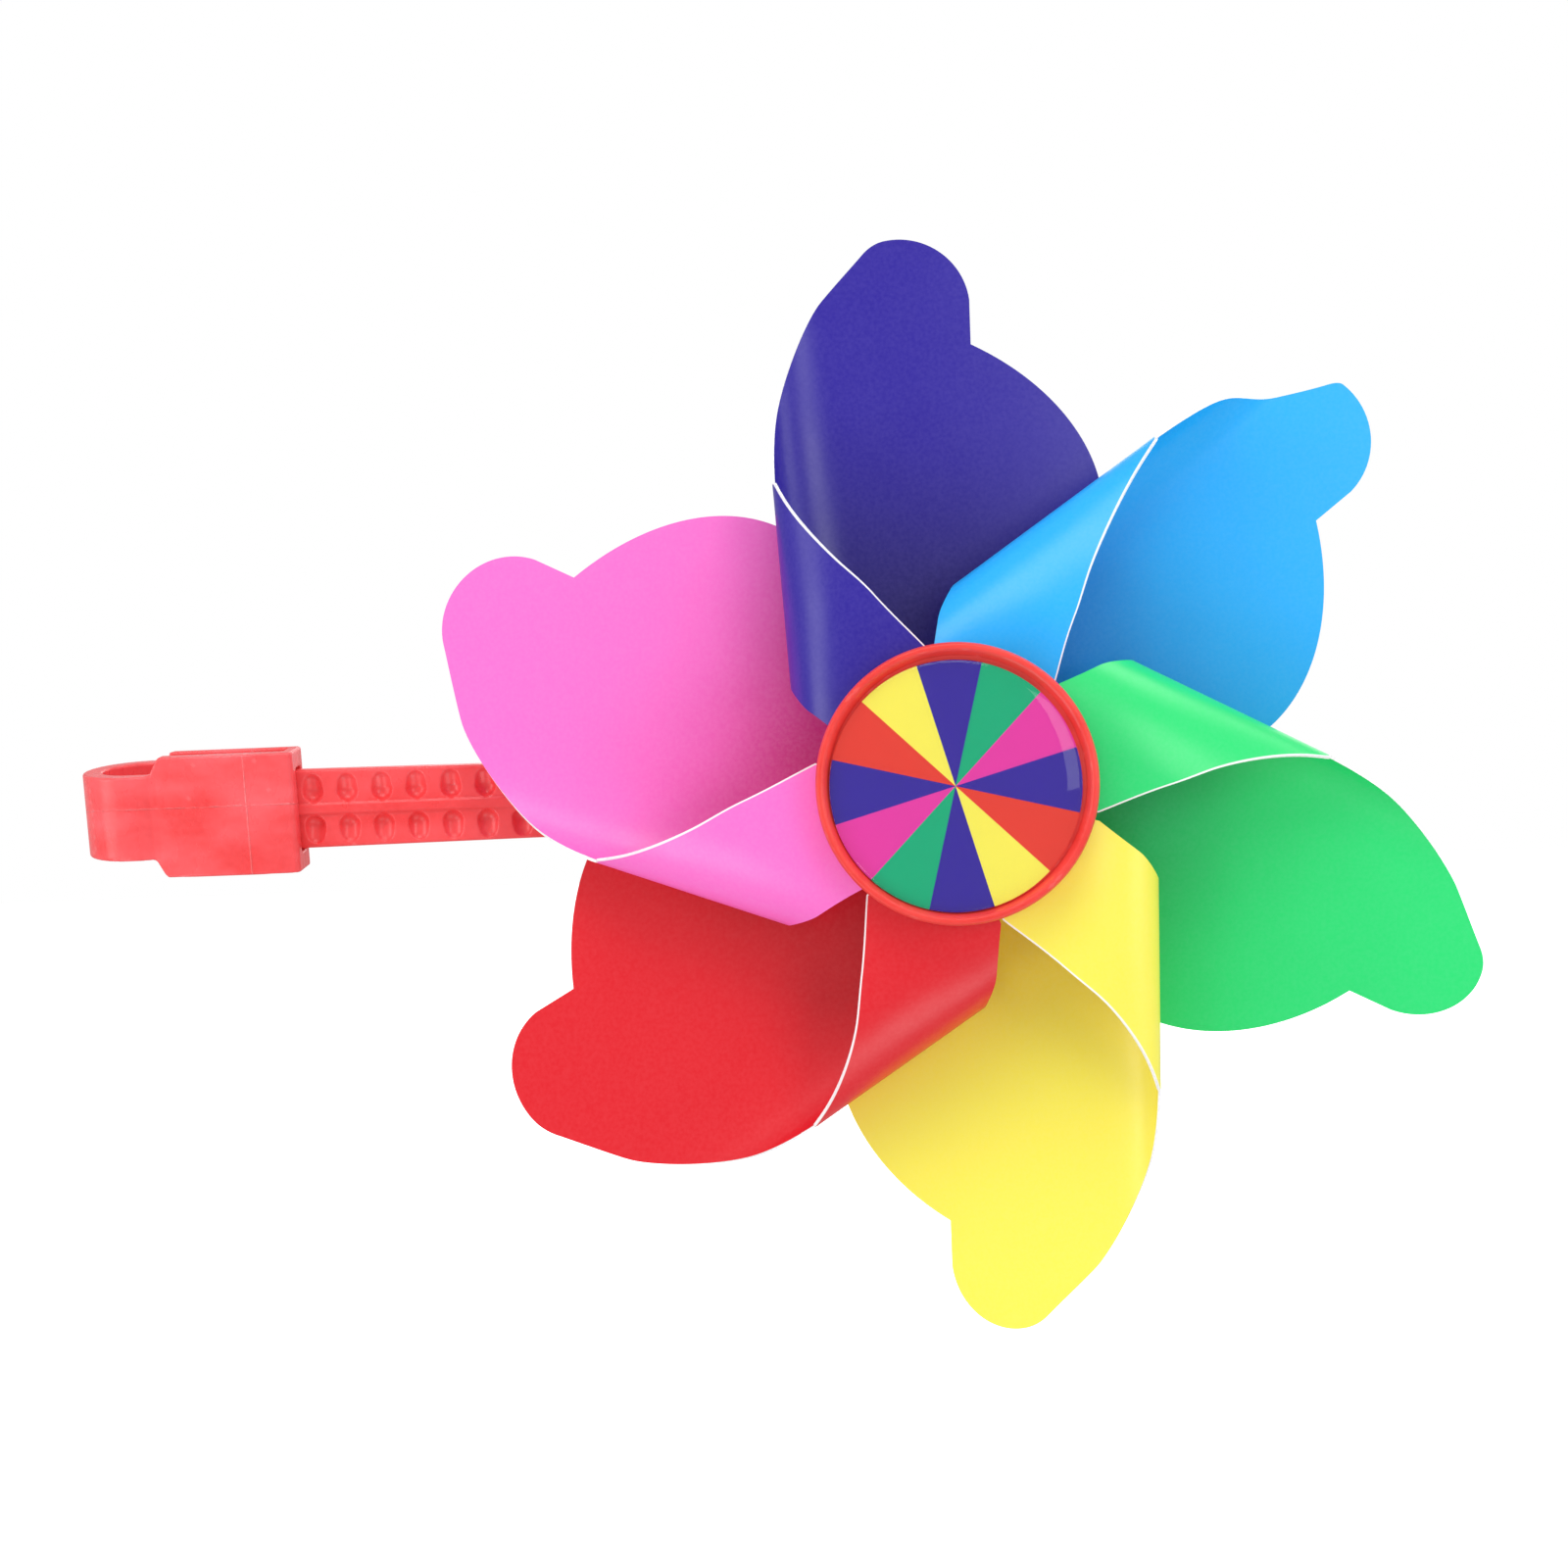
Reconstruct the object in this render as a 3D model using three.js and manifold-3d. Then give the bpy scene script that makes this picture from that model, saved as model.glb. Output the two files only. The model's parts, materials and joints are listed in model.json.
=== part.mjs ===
// Pinwheel for a handlebar or rail: six curled plastic blades spin on a hub, and a studded strap with a
// sliding ring buckle ties the hub's base to the bar.
// Millimetres, +Z up. The spin axis is Y and the wheel faces -Y. The strap runs toward -X.
// The origin is on the spin axis, in the rear face of the grip pad. A depth is the distance in front of
// that face, so a point at depth d has y = -d.
import * as THREE from "three";
import { mergeVertices } from "three/addons/utils/BufferGeometryUtils.js";
import Module from "manifold-3d";

const wasm = await Module();
wasm.setup();

// ---------------------------------------------------------------- driving dimensions
const roundSides = 48; // sides of the large round pieces
const smallSides = 16; // sides of pins, pegs and their holes

const axleRadius = 1.5;
const axleRearDepth = 5.4;
const axleFrontDepth = 44.4;
const axleHeadRadius = 2.8;
const axleHeadThickness = 1.2;
const runningGap = 0.1; // radial clearance round the axle

const padSize = { width: 34, height: 24, depth: 1.6, corner: 5 };
const padGroove = { offset: 7.4, width: 2.4, depth: 0.7 };
const baseSize = { width: 37, height: 26, corner: 7, bevel: 0.7 };
const baseRear = { from: 1.9, to: 7.0 };
const baseFront = { from: 7.3, to: 12.2 };
const baseBoss = { radius: 6.5, depth: 13.8 };
const baseScrew = { x: 13.6, z: 9, shank: 1.1, head: 2.2, headDepth: 1.2, tip: 10.6 };
const ringCatch = {
  slot: 5.6,
  post: 6,
  arm: 3.6,
  bottom: -7.5,
  top: 9.5,
  rear: 5,
  armRear: 7.5,
  front: 11.4,
};

const strap = {
  depth: 7.15, // middle of its thickness
  thickness: 2.6,
  rootHalfHeight: 6.2,
  tipHalfHeight: 7.3,
  tipX: -136,
  tilt: 9.5, // the free end leans this many degrees, its upper edge toward the front
  tiltFrom: -30,
  tiltTo: -82,
  cells: 26,
  eyeRadius: 7.2,
  eyeHole: 4.4,
  ridgeHeight: 0.45,
  ridgeHalfWidth: 0.9,
  studPitch: 6.3,
  firstStudX: -128.6,
  studColumns: 16,
  recess: { halfWidth: 1.95, halfHeight: 2.4, deep: 1.15, rise: 3.65 },
};
const strapPocket = 0.3; // clearance round the strap inside the base and the buckle

const buckle = {
  left: -145.2,
  right: -118.6,
  halfHeight: 10.95,
  rear: 3.6,
  front: 11.7,
  slotFront: 9.05,
  bulge: 0.7,
  wall: 2,
  endWall: 2.2,
  corner: 1.4,
  ringX: -149.1,
  ringDepth: 2.2,
  ringOuter: 10.5,
  ringInner: 7,
  ringHalfHeight: 7.65,
};

const rearHub = { radius: 19, rear: 14.9, front: 17.8 };
const rearClamp = { radius: 17, inner: 6.2, rear: 20.2, front: 22.0 };
const frontHub = { radius: 16.5, rear: 38.2, front: 40.5 };
const frontClamp = { radius: 16.5, inner: 6.2, rear: 41.8, front: 43.4 };
const sleeve = { inner: 3.6, outer: 5.6, rear: 18.1, front: 37.9 };
const bush = { outer: 3.2, flange: 4.6, flangeThickness: 0.5 };
const peg = { radius: 1.2, hole: 1.6, ring: 12 };
const washer = { radius: 4.4, thickness: 0.5 };
const axleNut = { radius: 4.2, rear: 42.3, front: 43.4 };

const cap = {
  radius: 23,
  rear: 42.0,
  rimTop: 48.1,
  rimInner: 21.6,
  floorRadius: 20.95,
  floorDepth: 46.0,
  wall: 1.5,
  skirtInner: 19.2,
};
const label = { radius: 20.5, thickness: 0.4, offsetX: -0.25, offsetZ: -0.35 };
const dome = { edge: 0.4, crown: 1.2 };

const sheetThickness = 0.5;
const rearSeatDepth = 19; // blade sheet at the rear seat, measured at its middle
const frontSeatRise = 22.3; // from the rear seat to the front seat
const bladePitch = 0.08; // a blade leans back on its open side by this much for each mm across
const lobeDrop = 1.2; // extra backward bend at the open edge of the big lobe
const curl = { flat: 16, crowding: 0.5, steps: 400 };
const coneShare = 0.28; // the curl is this much shallower at the ear than at the hub
const coneStart = 18;
const coneEnd = 70;

// heading: direction of a blade's long way. crest: distance of the fold from the spin axis, 35 mm out.
// lean: how much further out the fold moves for each mm outward. twist: turn of the front tab. narrow: how
// much the open side draws in. draw: how far the fold slides along itself, 60 mm out.
const bladeKinds = [
  {
    name: "blade_purple", color: 0x4330a0, heading: 95.9,
    crest: 24.8, lean: -0.04, twist: -5.9, narrow: -0.01, draw: -6.5,
  },
  {
    name: "blade_blue", color: 0x2196f0, heading: 44,
    crest: 21.1, lean: -0.18, twist: -10, narrow: -0.02, draw: 3.6,
  },
  {
    name: "blade_green", color: 0x2db964, heading: -21.7,
    crest: 27.7, lean: -0.1, twist: -4.6, narrow: 0.13, draw: -4.3,
  },
  {
    name: "blade_yellow", color: 0xfaf06e, heading: -84.8,
    crest: 29.7, lean: -0.1, twist: -2.3, narrow: 0.14, draw: -5.9,
  },
  {
    name: "blade_red", color: 0xe12837, heading: -143.6,
    crest: 31.5, lean: -0.04, twist: -1.5, narrow: -0.08, draw: -6.2,
  },
  {
    name: "blade_pink", color: 0xfa6ec8, heading: 159.7,
    crest: 31.5, lean: 0.01, twist: -3.7, narrow: -0.05, draw: -7,
  },
];

// Flat pattern of a blade, as [across, along]: across is measured along the sheet from the middle of the
// rear seat toward the fold, along is measured outward. The lobe is a tilted ellipse, the ear is round.
const ear = { across: -1.5, along: 82.7, radius: 12.1, end: 56 };
const lobe = { across: 9.5, along: 52.6, long: 42.1, short: 30.1, tilt: 19.1, start: 215, notch: 109 };
const tabInner = 9; // both tabs end this far from the spin axis
const tabLength = 20;
const rearTabHalfAngle = 25;
const frontTab = { upper: 13.7, lower: 69.1, reach: 23.6 };

// ---------------------------------------------------------------- solids
const red = new THREE.MeshStandardMaterial({ color: 0xe8483f, roughness: 0.38, metalness: 0 });
const softRed = new THREE.MeshStandardMaterial({ color: 0xf2544f, roughness: 0.5, metalness: 0 });
const rubber = new THREE.MeshStandardMaterial({ color: 0x2a2a2c, roughness: 0.85, metalness: 0 });
const steel = new THREE.MeshStandardMaterial({ color: 0xb9bcc0, roughness: 0.3, metalness: 1 });
const nylon = new THREE.MeshStandardMaterial({ color: 0xe9e7df, roughness: 0.5, metalness: 0 });
const print = new THREE.MeshStandardMaterial({ color: 0xe84caa, roughness: 0.4, metalness: 0 });
const resin = new THREE.MeshStandardMaterial({ color: 0xffffff, roughness: 0.05, metalness: 0 });

// A closed geometry as a manifold solid whose faces point out.
function solid(geometry) {
  const bare = geometry.clone();
  bare.deleteAttribute("normal");
  bare.deleteAttribute("uv");
  const merged = mergeVertices(bare, 1e-4);
  const corners = merged.index.array;
  const faces = [];
  for (let i = 0; i < corners.length; i += 3) {
    const [a, b, c] = [corners[i], corners[i + 1], corners[i + 2]];
    if (a !== b && b !== c && c !== a) faces.push(a, b, c);
  }
  const build = (list) =>
    new wasm.Manifold(
      new wasm.Mesh({
        numProp: 3,
        vertProperties: new Float32Array(merged.attributes.position.array),
        triVerts: new Uint32Array(list),
      }),
    );
  const made = build(faces);
  return made.volume() < 0 ? build(faces.reverse()) : made;
}

function geometryOf(body) {
  const mesh = body.getMesh();
  const geometry = new THREE.BufferGeometry();
  geometry.setAttribute("position", new THREE.BufferAttribute(mesh.vertProperties, 3));
  geometry.setIndex(new THREE.BufferAttribute(mesh.triVerts, 1));
  geometry.computeVertexNormals();
  return geometry;
}

const model = new THREE.Group();

function addPiece(name, body, material) {
  const mesh = new THREE.Mesh(geometryOf(body), material);
  mesh.name = name;
  model.add(mesh);
}

// A solid turned about the spin axis, from a closed list of [radius, depth] corners.
function turned(corners, sides = roundSides) {
  const closed = [...corners, corners[0]];
  const profile = closed.map(([radius, depth]) => new THREE.Vector2(radius, -depth));
  return solid(new THREE.LatheGeometry(profile, sides));
}

function ring(inner, outer, rear, front, sides = roundSides) {
  return turned([[inner, rear], [outer, rear], [outer, front], [inner, front]], sides);
}

// A round bar parallel to the spin axis.
function rod(x, z, radius, rear, front, sides = smallSides) {
  const bar = new THREE.CylinderGeometry(radius, radius, front - rear, sides);
  return solid(bar.translate(x, -(rear + front) / 2, z));
}

function block(xFrom, xTo, rear, front, zFrom, zTo) {
  const box = new THREE.BoxGeometry(xTo - xFrom, front - rear, zTo - zFrom);
  return solid(box.translate((xFrom + xTo) / 2, -(rear + front) / 2, (zFrom + zTo) / 2));
}

// A plate with the outline of a shape drawn in X and Z.
function plate(shape, rear, front, bevel = 0) {
  const made = new THREE.ExtrudeGeometry(shape, {
    depth: front - rear - 2 * bevel,
    bevelEnabled: bevel > 0,
    bevelThickness: bevel,
    bevelSize: bevel,
    bevelOffset: -bevel,
    bevelSegments: 1,
    curveSegments: 5,
  });
  return solid(made.translate(0, 0, rear + bevel).rotateX(Math.PI / 2));
}

// A column along Z with the outline of a shape drawn in X and Y.
function column(shape, zFrom, zTo) {
  const made = new THREE.ExtrudeGeometry(shape, {
    depth: zTo - zFrom,
    bevelEnabled: false,
    curveSegments: 10,
  });
  return solid(made.translate(0, 0, zFrom));
}

function roundedRectangle(width, height, corner) {
  const [w, h] = [width / 2, height / 2];
  const shape = new THREE.Shape();
  shape.absarc(w - corner, h - corner, corner, 0, Math.PI / 2);
  shape.absarc(corner - w, h - corner, corner, Math.PI / 2, Math.PI);
  shape.absarc(corner - w, corner - h, corner, Math.PI, 1.5 * Math.PI);
  shape.absarc(w - corner, corner - h, corner, 1.5 * Math.PI, 2 * Math.PI);
  shape.closePath();
  return shape;
}

// ---------------------------------------------------------------- blades
const radians = THREE.MathUtils.degToRad;

// Section across the fold: the sheet turns half round, most sharply in the middle of the turn. The
// section is scaled so that it climbs from the rear seat to the front seat.
function curlSection() {
  const turn = (t) => Math.PI * (t - (curl.crowding * Math.sin(2 * Math.PI * t)) / (2 * Math.PI));
  const points = [{ side: 0, rise: 0 }];
  for (let i = 0; i < curl.steps; i += 1) {
    const angle = turn((i + 0.5) / curl.steps);
    const last = points[i];
    points.push({ side: last.side + Math.cos(angle), rise: last.rise + Math.sin(angle) });
  }
  const step = frontSeatRise / points[curl.steps].rise;
  const scaled = points.map(({ side, rise }) => ({ side: side * step, rise: rise * step }));
  return { length: step * curl.steps, points: scaled };
}

const section = curlSection();
const crestAcross = curl.flat + section.length / 2;
const crestSide = curl.flat + section.points[curl.steps / 2].side;
const frontAcross = curl.flat + section.length; // where the sheet lies flat again
const axisAcross = frontAcross + curl.flat; // where the pattern crosses the spin axis at the front

function sectionAt(across) {
  if (across <= curl.flat) return { side: across, rise: 0 };
  if (across >= frontAcross) return { side: axisAcross - across, rise: frontSeatRise };
  const place = ((across - curl.flat) / section.length) * curl.steps;
  const low = Math.min(Math.floor(place), curl.steps - 1);
  const share = place - low;
  const [a, b] = [section.points[low], section.points[low + 1]];
  return {
    side: curl.flat + a.side + (b.side - a.side) * share,
    rise: a.rise + (b.rise - a.rise) * share,
  };
}

const smooth = THREE.MathUtils.smoothstep;

// Where a point of the flat pattern ends up on a finished blade, on the sheet's middle surface.
function bladePoint(kind, across, along) {
  const flat = sectionAt(across);
  const crest = kind.crest + kind.lean * (along - 35);
  const side = across > 0 ? (flat.side * crest) / crestSide : across * (1 - kind.narrow);
  const shallow = 1 - coneShare * smooth(along, coneStart, coneEnd);
  const folded = smooth(across, curl.flat, frontAcross);
  const open = Math.min(0, across) / lobe.short;
  const rise = flat.rise * shallow + bladePitch * side * (1 - folded) - lobeDrop * open * open;
  const inFold = THREE.MathUtils.clamp((across - curl.flat) / section.length, 0, 1);
  const out = along + (kind.draw * Math.sin(Math.PI * inFold) ** 2 * along) / 60;
  const turnBy = radians(kind.heading - 90 + kind.twist * smooth(across, crestAcross, frontAcross));
  const [c, s] = [Math.cos(turnBy), Math.sin(turnBy)];
  return new THREE.Vector3(-side * c - out * s, -(rearSeatDepth + rise), -side * s + out * c);
}

function bladeOutline() {
  const onEar = (degrees) => [
    ear.across + ear.radius * Math.cos(radians(degrees)),
    ear.along + ear.radius * Math.sin(radians(degrees)),
  ];
  const onLobe = (degrees) => {
    const angle = radians(degrees);
    const point = new THREE.Vector2(lobe.long * Math.cos(angle), lobe.short * Math.sin(angle));
    point.rotateAround(new THREE.Vector2(), radians(lobe.tilt));
    return [lobe.across + point.x, lobe.along + point.y];
  };
  const rearTab = (radius, side) => [
    side * radius * Math.sin(radians(rearTabHalfAngle)),
    radius * Math.cos(radians(rearTabHalfAngle)),
  ];
  const tab = (radius, degrees) => [
    axisAcross - radius * Math.sin(radians(degrees)),
    radius * Math.cos(radians(degrees)),
  ];
  const through = (points) => points.map(([a, b]) => new THREE.Vector2(a, b));
  const flapEdge = [[18.6, 84.2], [30.9, 74.4], [crestAcross, 62.5], [41.1, 59.2], [53.2, 38]];
  const lowerEdge = [[45.6, 15.6], [crestAcross, 22.5], [24, 21]];
  const path = new THREE.Path();
  path.moveTo(...rearTab(tabInner, -1));
  path.lineTo(...rearTab(tabLength, -1));
  path.quadraticCurveTo(-13, 20.5, ...onLobe(lobe.start));
  path.absellipse(
    lobe.across, lobe.along, lobe.long, lobe.short,
    radians(lobe.start), radians(lobe.notch), true, radians(lobe.tilt),
  );
  path.lineTo(...onEar(180));
  path.absarc(ear.across, ear.along, ear.radius, Math.PI, radians(ear.end), true);
  path.splineThru(through([...flapEdge, tab(frontTab.reach, frontTab.upper)]));
  path.lineTo(...tab(tabInner, frontTab.upper));
  path.lineTo(...tab(tabInner, (frontTab.upper + frontTab.lower) / 2));
  path.lineTo(...tab(tabInner, frontTab.lower));
  path.lineTo(...tab(frontTab.reach, frontTab.lower));
  path.splineThru(through([...lowerEdge, rearTab(tabLength, 1)]));
  path.lineTo(...rearTab(tabInner, 1));
  path.closePath();
  return path.getPoints(16);
}

const outline = bladeOutline();

// Lowest and highest point of the pattern on the line at one distance across.
function spanAt(across) {
  const crossings = [];
  outline.forEach((from, i) => {
    const to = outline[(i + 1) % outline.length];
    if ((from.x - across) * (to.x - across) > 0 || from.x === to.x) return;
    crossings.push(from.y + ((to.y - from.y) * (across - from.x)) / (to.x - from.x));
  });
  return [Math.min(...crossings), Math.max(...crossings)];
}

// Lines across the pattern, closer together where its outline or its surface bends most.
function patternLines() {
  const lobeEdge = Math.min(...outline.map((point) => point.x));
  const stretches = [
    [lobeEdge + 0.15, ear.across - ear.radius - 0.1, 6],
    [ear.across - ear.radius + 0.3, ear.across + ear.radius * Math.cos(radians(ear.end)), 7],
    [curl.flat - 6, curl.flat, 1],
    [curl.flat + 3, frontAcross, 13],
    [frontAcross + 3, axisAcross - tabInner * Math.sin(radians(frontTab.upper)) - 0.1, 4],
  ];
  return stretches.flatMap(([from, to, steps]) =>
    Array.from({ length: steps + 1 }, (_, i) => from + ((to - from) * i) / steps),
  );
}

const lines = patternLines();
const rows = 6;

// The sheet is a flat box of many cells whose corners are moved onto the curled surface.
function bladeSheet(kind) {
  const box = new THREE.BoxGeometry(1, 1, 1, lines.length - 1, 1, rows);
  const place = box.attributes.position;
  const nudge = 0.05;
  for (let i = 0; i < place.count; i += 1) {
    const across = lines[Math.round((place.getX(i) + 0.5) * (lines.length - 1))];
    const [low, high] = spanAt(across);
    const along = low + (high - low) * (place.getZ(i) + 0.5);
    const here = bladePoint(kind, across, along);
    const acrossStep = bladePoint(kind, across + nudge, along).sub(here);
    const alongStep = bladePoint(kind, across, along + nudge).sub(here);
    const normal = acrossStep.cross(alongStep).normalize();
    here.addScaledVector(normal, place.getY(i) * sheetThickness);
    place.setXYZ(i, here.x, here.y, here.z);
  }
  return solid(box);
}

const rearPegAt = (kind) => bladePoint(kind, 0, peg.ring);
function frontPegAt(kind) {
  const middle = radians((frontTab.upper + frontTab.lower) / 2);
  return bladePoint(kind, axisAcross - peg.ring * Math.sin(middle), peg.ring * Math.cos(middle));
}

for (const kind of bladeKinds) {
  const color = { color: kind.color, roughness: 0.35, metalness: 0 };
  const rearHole = rearPegAt(kind);
  const frontHole = frontPegAt(kind);
  const sheet = bladeSheet(kind)
    .subtract(rod(rearHole.x, rearHole.z, peg.hole, rearSeatDepth - 2, rearSeatDepth + 2, 10))
    .subtract(rod(frontHole.x, frontHole.z, peg.hole, frontHub.front - 1, frontClamp.rear + 1, 10));
  addPiece(kind.name, sheet, new THREE.MeshStandardMaterial(color));
}

// ---------------------------------------------------------------- hub
// A disc with one peg for each blade, and the plate that its pegs pass through.
function peggedDisc(disc, bore, pegAt, pegFront) {
  let body = ring(bore, disc.radius, disc.rear, disc.front);
  for (const kind of bladeKinds) {
    const at = pegAt(kind);
    body = body.add(rod(at.x, at.z, peg.radius, disc.front - 1, pegFront));
  }
  return body;
}

function clampPlate(disc, pegAt) {
  let body = ring(disc.inner, disc.radius, disc.rear, disc.front);
  for (const kind of bladeKinds) {
    const at = pegAt(kind);
    body = body.subtract(rod(at.x, at.z, peg.hole, disc.rear - 1, disc.front + 1));
  }
  return body;
}

const bushBore = bush.outer + runningGap;
addPiece("rear_hub", peggedDisc(rearHub, bushBore, rearPegAt, rearClamp.front), red);
addPiece("rear_blade_clamp", clampPlate(rearClamp, rearPegAt), red);
addPiece("front_hub", peggedDisc(frontHub, bushBore, frontPegAt, frontClamp.front), red);
addPiece("front_blade_clamp", clampPlate(frontClamp, frontPegAt), red);
addPiece("hub_sleeve", ring(sleeve.inner, sleeve.outer, sleeve.rear, sleeve.front, 24), red);

// A plain bush with a flange on the outer side of the disc that holds it.
function bushBody(from, to, flangeFrom, flangeTo) {
  const inner = axleRadius + runningGap;
  return ring(inner, bush.outer, from, to, smallSides).add(
    ring(inner, bush.flange, flangeFrom, flangeTo, smallSides),
  );
}

const flangeRear = rearHub.rear - 0.1 - bush.flangeThickness;
const flangeFront = frontHub.front + 0.1 + bush.flangeThickness;
addPiece("rear_bush", bushBody(flangeRear, rearHub.front, flangeRear, rearHub.rear - 0.1), nylon);
addPiece("front_bush", bushBody(frontHub.rear, flangeFront, frontHub.front + 0.1, flangeFront), nylon);

// ---------------------------------------------------------------- axle
const axle = rod(0, 0, axleRadius, axleRearDepth - 0.2, axleFrontDepth).add(
  rod(0, 0, axleHeadRadius, axleRearDepth - axleHeadThickness, axleRearDepth),
);
addPiece("axle_pin", axle, steel);
const washerInner = axleRadius + runningGap;
const washerRear = ring(
  washerInner, washer.radius, baseBoss.depth + 0.05, flangeRear - 0.05, smallSides,
);
addPiece("rear_washer", washerRear, nylon);
const washerFrom = flangeFront + 0.1;
addPiece(
  "front_washer",
  ring(washerInner, washer.radius, washerFrom, washerFrom + washer.thickness, smallSides),
  nylon,
);
addPiece("axle_push_nut", ring(washerInner, axleNut.radius, axleNut.rear, axleNut.front, smallSides), steel);

// ---------------------------------------------------------------- cap, label and dome
addPiece(
  "front_cap",
  turned([
    [0, cap.floorDepth],
    [cap.floorRadius, cap.floorDepth],
    [cap.rimInner, cap.rimTop - 0.35],
    [cap.rimInner + 0.4, cap.rimTop],
    [cap.radius - 0.45, cap.rimTop],
    [cap.radius, cap.rimTop - 0.6],
    [cap.radius, cap.rear],
    [cap.skirtInner, cap.rear],
    [cap.skirtInner - 0.6, cap.floorDepth - cap.wall],
    [0, cap.floorDepth - cap.wall],
  ]),
  red,
);

function offCentre(body) {
  return body.translate([label.offsetX, 0, label.offsetZ]);
}

const labelRear = cap.floorDepth + 0.1;
const domeRear = labelRear + label.thickness + 0.1;
addPiece(
  "cap_label",
  offCentre(
    turned([
      [0, labelRear],
      [label.radius, labelRear],
      [label.radius, labelRear + label.thickness],
      [0, labelRear + label.thickness],
    ]),
  ),
  print,
);

function domeProfile() {
  const profile = [[0, domeRear], [label.radius, domeRear]];
  const steps = 4;
  for (let i = 0; i <= steps; i += 1) {
    const share = 1 - i / steps;
    profile.push([label.radius * share, domeRear + dome.edge + dome.crown * (1 - share * share)]);
  }
  return profile;
}
addPiece("cap_dome", offCentre(turned(domeProfile())), resin);

// ---------------------------------------------------------------- base
const strapRear = strap.depth - strap.thickness / 2;
const strapFront = strap.depth + strap.thickness / 2;
const pocketRear = strapRear - strapPocket;
const pocketFront = strapFront + strap.ridgeHeight + strapPocket;

function gripPad() {
  const { width, height, depth, corner } = padSize;
  let body = plate(roundedRectangle(width, height, corner), 0, depth);
  for (const side of [-1, 1]) {
    const low = side * padGroove.offset - padGroove.width / 2;
    const high = low + padGroove.width;
    body = body.subtract(block(-width, width, -1, padGroove.depth, low, high));
  }
  return body;
}

// Room for the strap's end, left open toward the buckle.
function strapRoom() {
  const reach = strap.eyeRadius + strapPocket;
  const tall = strap.rootHalfHeight + strapPocket + 0.4;
  return block(-baseSize.width, 0, pocketRear, pocketFront, -tall, tall).add(
    rod(0, 0, reach, pocketRear, pocketFront, 24),
  );
}

function screwHoles(body) {
  let cut = body;
  for (const side of [-1, 1]) {
    const { x, z, shank, head, headDepth, tip } = baseScrew;
    cut = cut
      .subtract(rod(side * x, side * z, shank + 0.3, baseRear.from - 1, tip + 0.4))
      .subtract(rod(side * x, side * z, head + 0.3, baseRear.from - 1, baseRear.from + headDepth + 0.4));
  }
  return cut;
}

const baseOutline = roundedRectangle(baseSize.width, baseSize.height, baseSize.corner);

function rearShell() {
  const headRoom = rod(0, 0, axleHeadRadius + 0.4, axleRearDepth - axleHeadThickness - 0.4, baseRear.to + 1);
  return screwHoles(plate(baseOutline, baseRear.from, baseRear.to, baseSize.bevel))
    .subtract(strapRoom())
    .subtract(headRoom);
}

// The catch that the buckle's ring hooks over: an arm out of the base's side and a post that stands on it.
function ringCatchBody() {
  const { slot, post, arm, bottom, top, rear, armRear, front } = ringCatch;
  const side = baseSize.width / 2;
  const postFrom = side + slot;
  return block(side - 3, postFrom + post, armRear, front, bottom, bottom + arm).add(
    block(postFrom, postFrom + post, rear, front, bottom, top),
  );
}

function frontShell() {
  const body = plate(baseOutline, baseFront.from, baseFront.to, baseSize.bevel)
    .add(ring(axleRadius, baseBoss.radius, baseFront.to - 2, baseBoss.depth, 32))
    .add(ringCatchBody());
  return screwHoles(body)
    .subtract(strapRoom())
    .subtract(rod(0, 0, axleRadius + runningGap, 0, baseBoss.depth + 1));
}

addPiece("grip_pad", gripPad(), rubber);
addPiece("base_rear_shell", rearShell(), red);
addPiece("base_front_shell", frontShell(), red);
for (const [name, side] of [["base_screw_upper", 1], ["base_screw_lower", -1]]) {
  const { x, z, shank, head, headDepth, tip } = baseScrew;
  const screw = rod(side * x, side * z, shank, baseRear.from + 1, tip).add(
    rod(side * x, side * z, head, baseRear.from + 0.2, baseRear.from + 0.2 + headDepth),
  );
  addPiece(name, screw, steel);
}

// ---------------------------------------------------------------- strap
// Turn of the strap about its own middle line, at a distance along it.
function strapTurn(x) {
  return radians(strap.tilt) * (1 - smooth(x, strap.tiltTo, strap.tiltFrom));
}

// A bar along the strap, cut into cells that follow its taper and its lean.
function strapBar(xFrom, xTo, rear, front, halfHeightAt) {
  const box = new THREE.BoxGeometry(1, 1, 1, strap.cells, 1, 1);
  const place = box.attributes.position;
  for (let i = 0; i < place.count; i += 1) {
    const x = xFrom + (xTo - xFrom) * (place.getX(i) + 0.5);
    const out = place.getY(i) < 0 ? front - strap.depth : rear - strap.depth;
    const up = 2 * place.getZ(i) * halfHeightAt(x);
    const turn = strapTurn(x);
    const y = -strap.depth - out * Math.cos(turn) - up * Math.sin(turn);
    place.setXYZ(i, x, y, up * Math.cos(turn) - out * Math.sin(turn));
  }
  return solid(box);
}

// Moves a solid drawn about the strap's middle line so that it leans as the strap does at x.
function leanWithStrap(geometry, turn) {
  return solid(geometry.rotateX(turn).translate(0, -strap.depth, 0));
}

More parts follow.
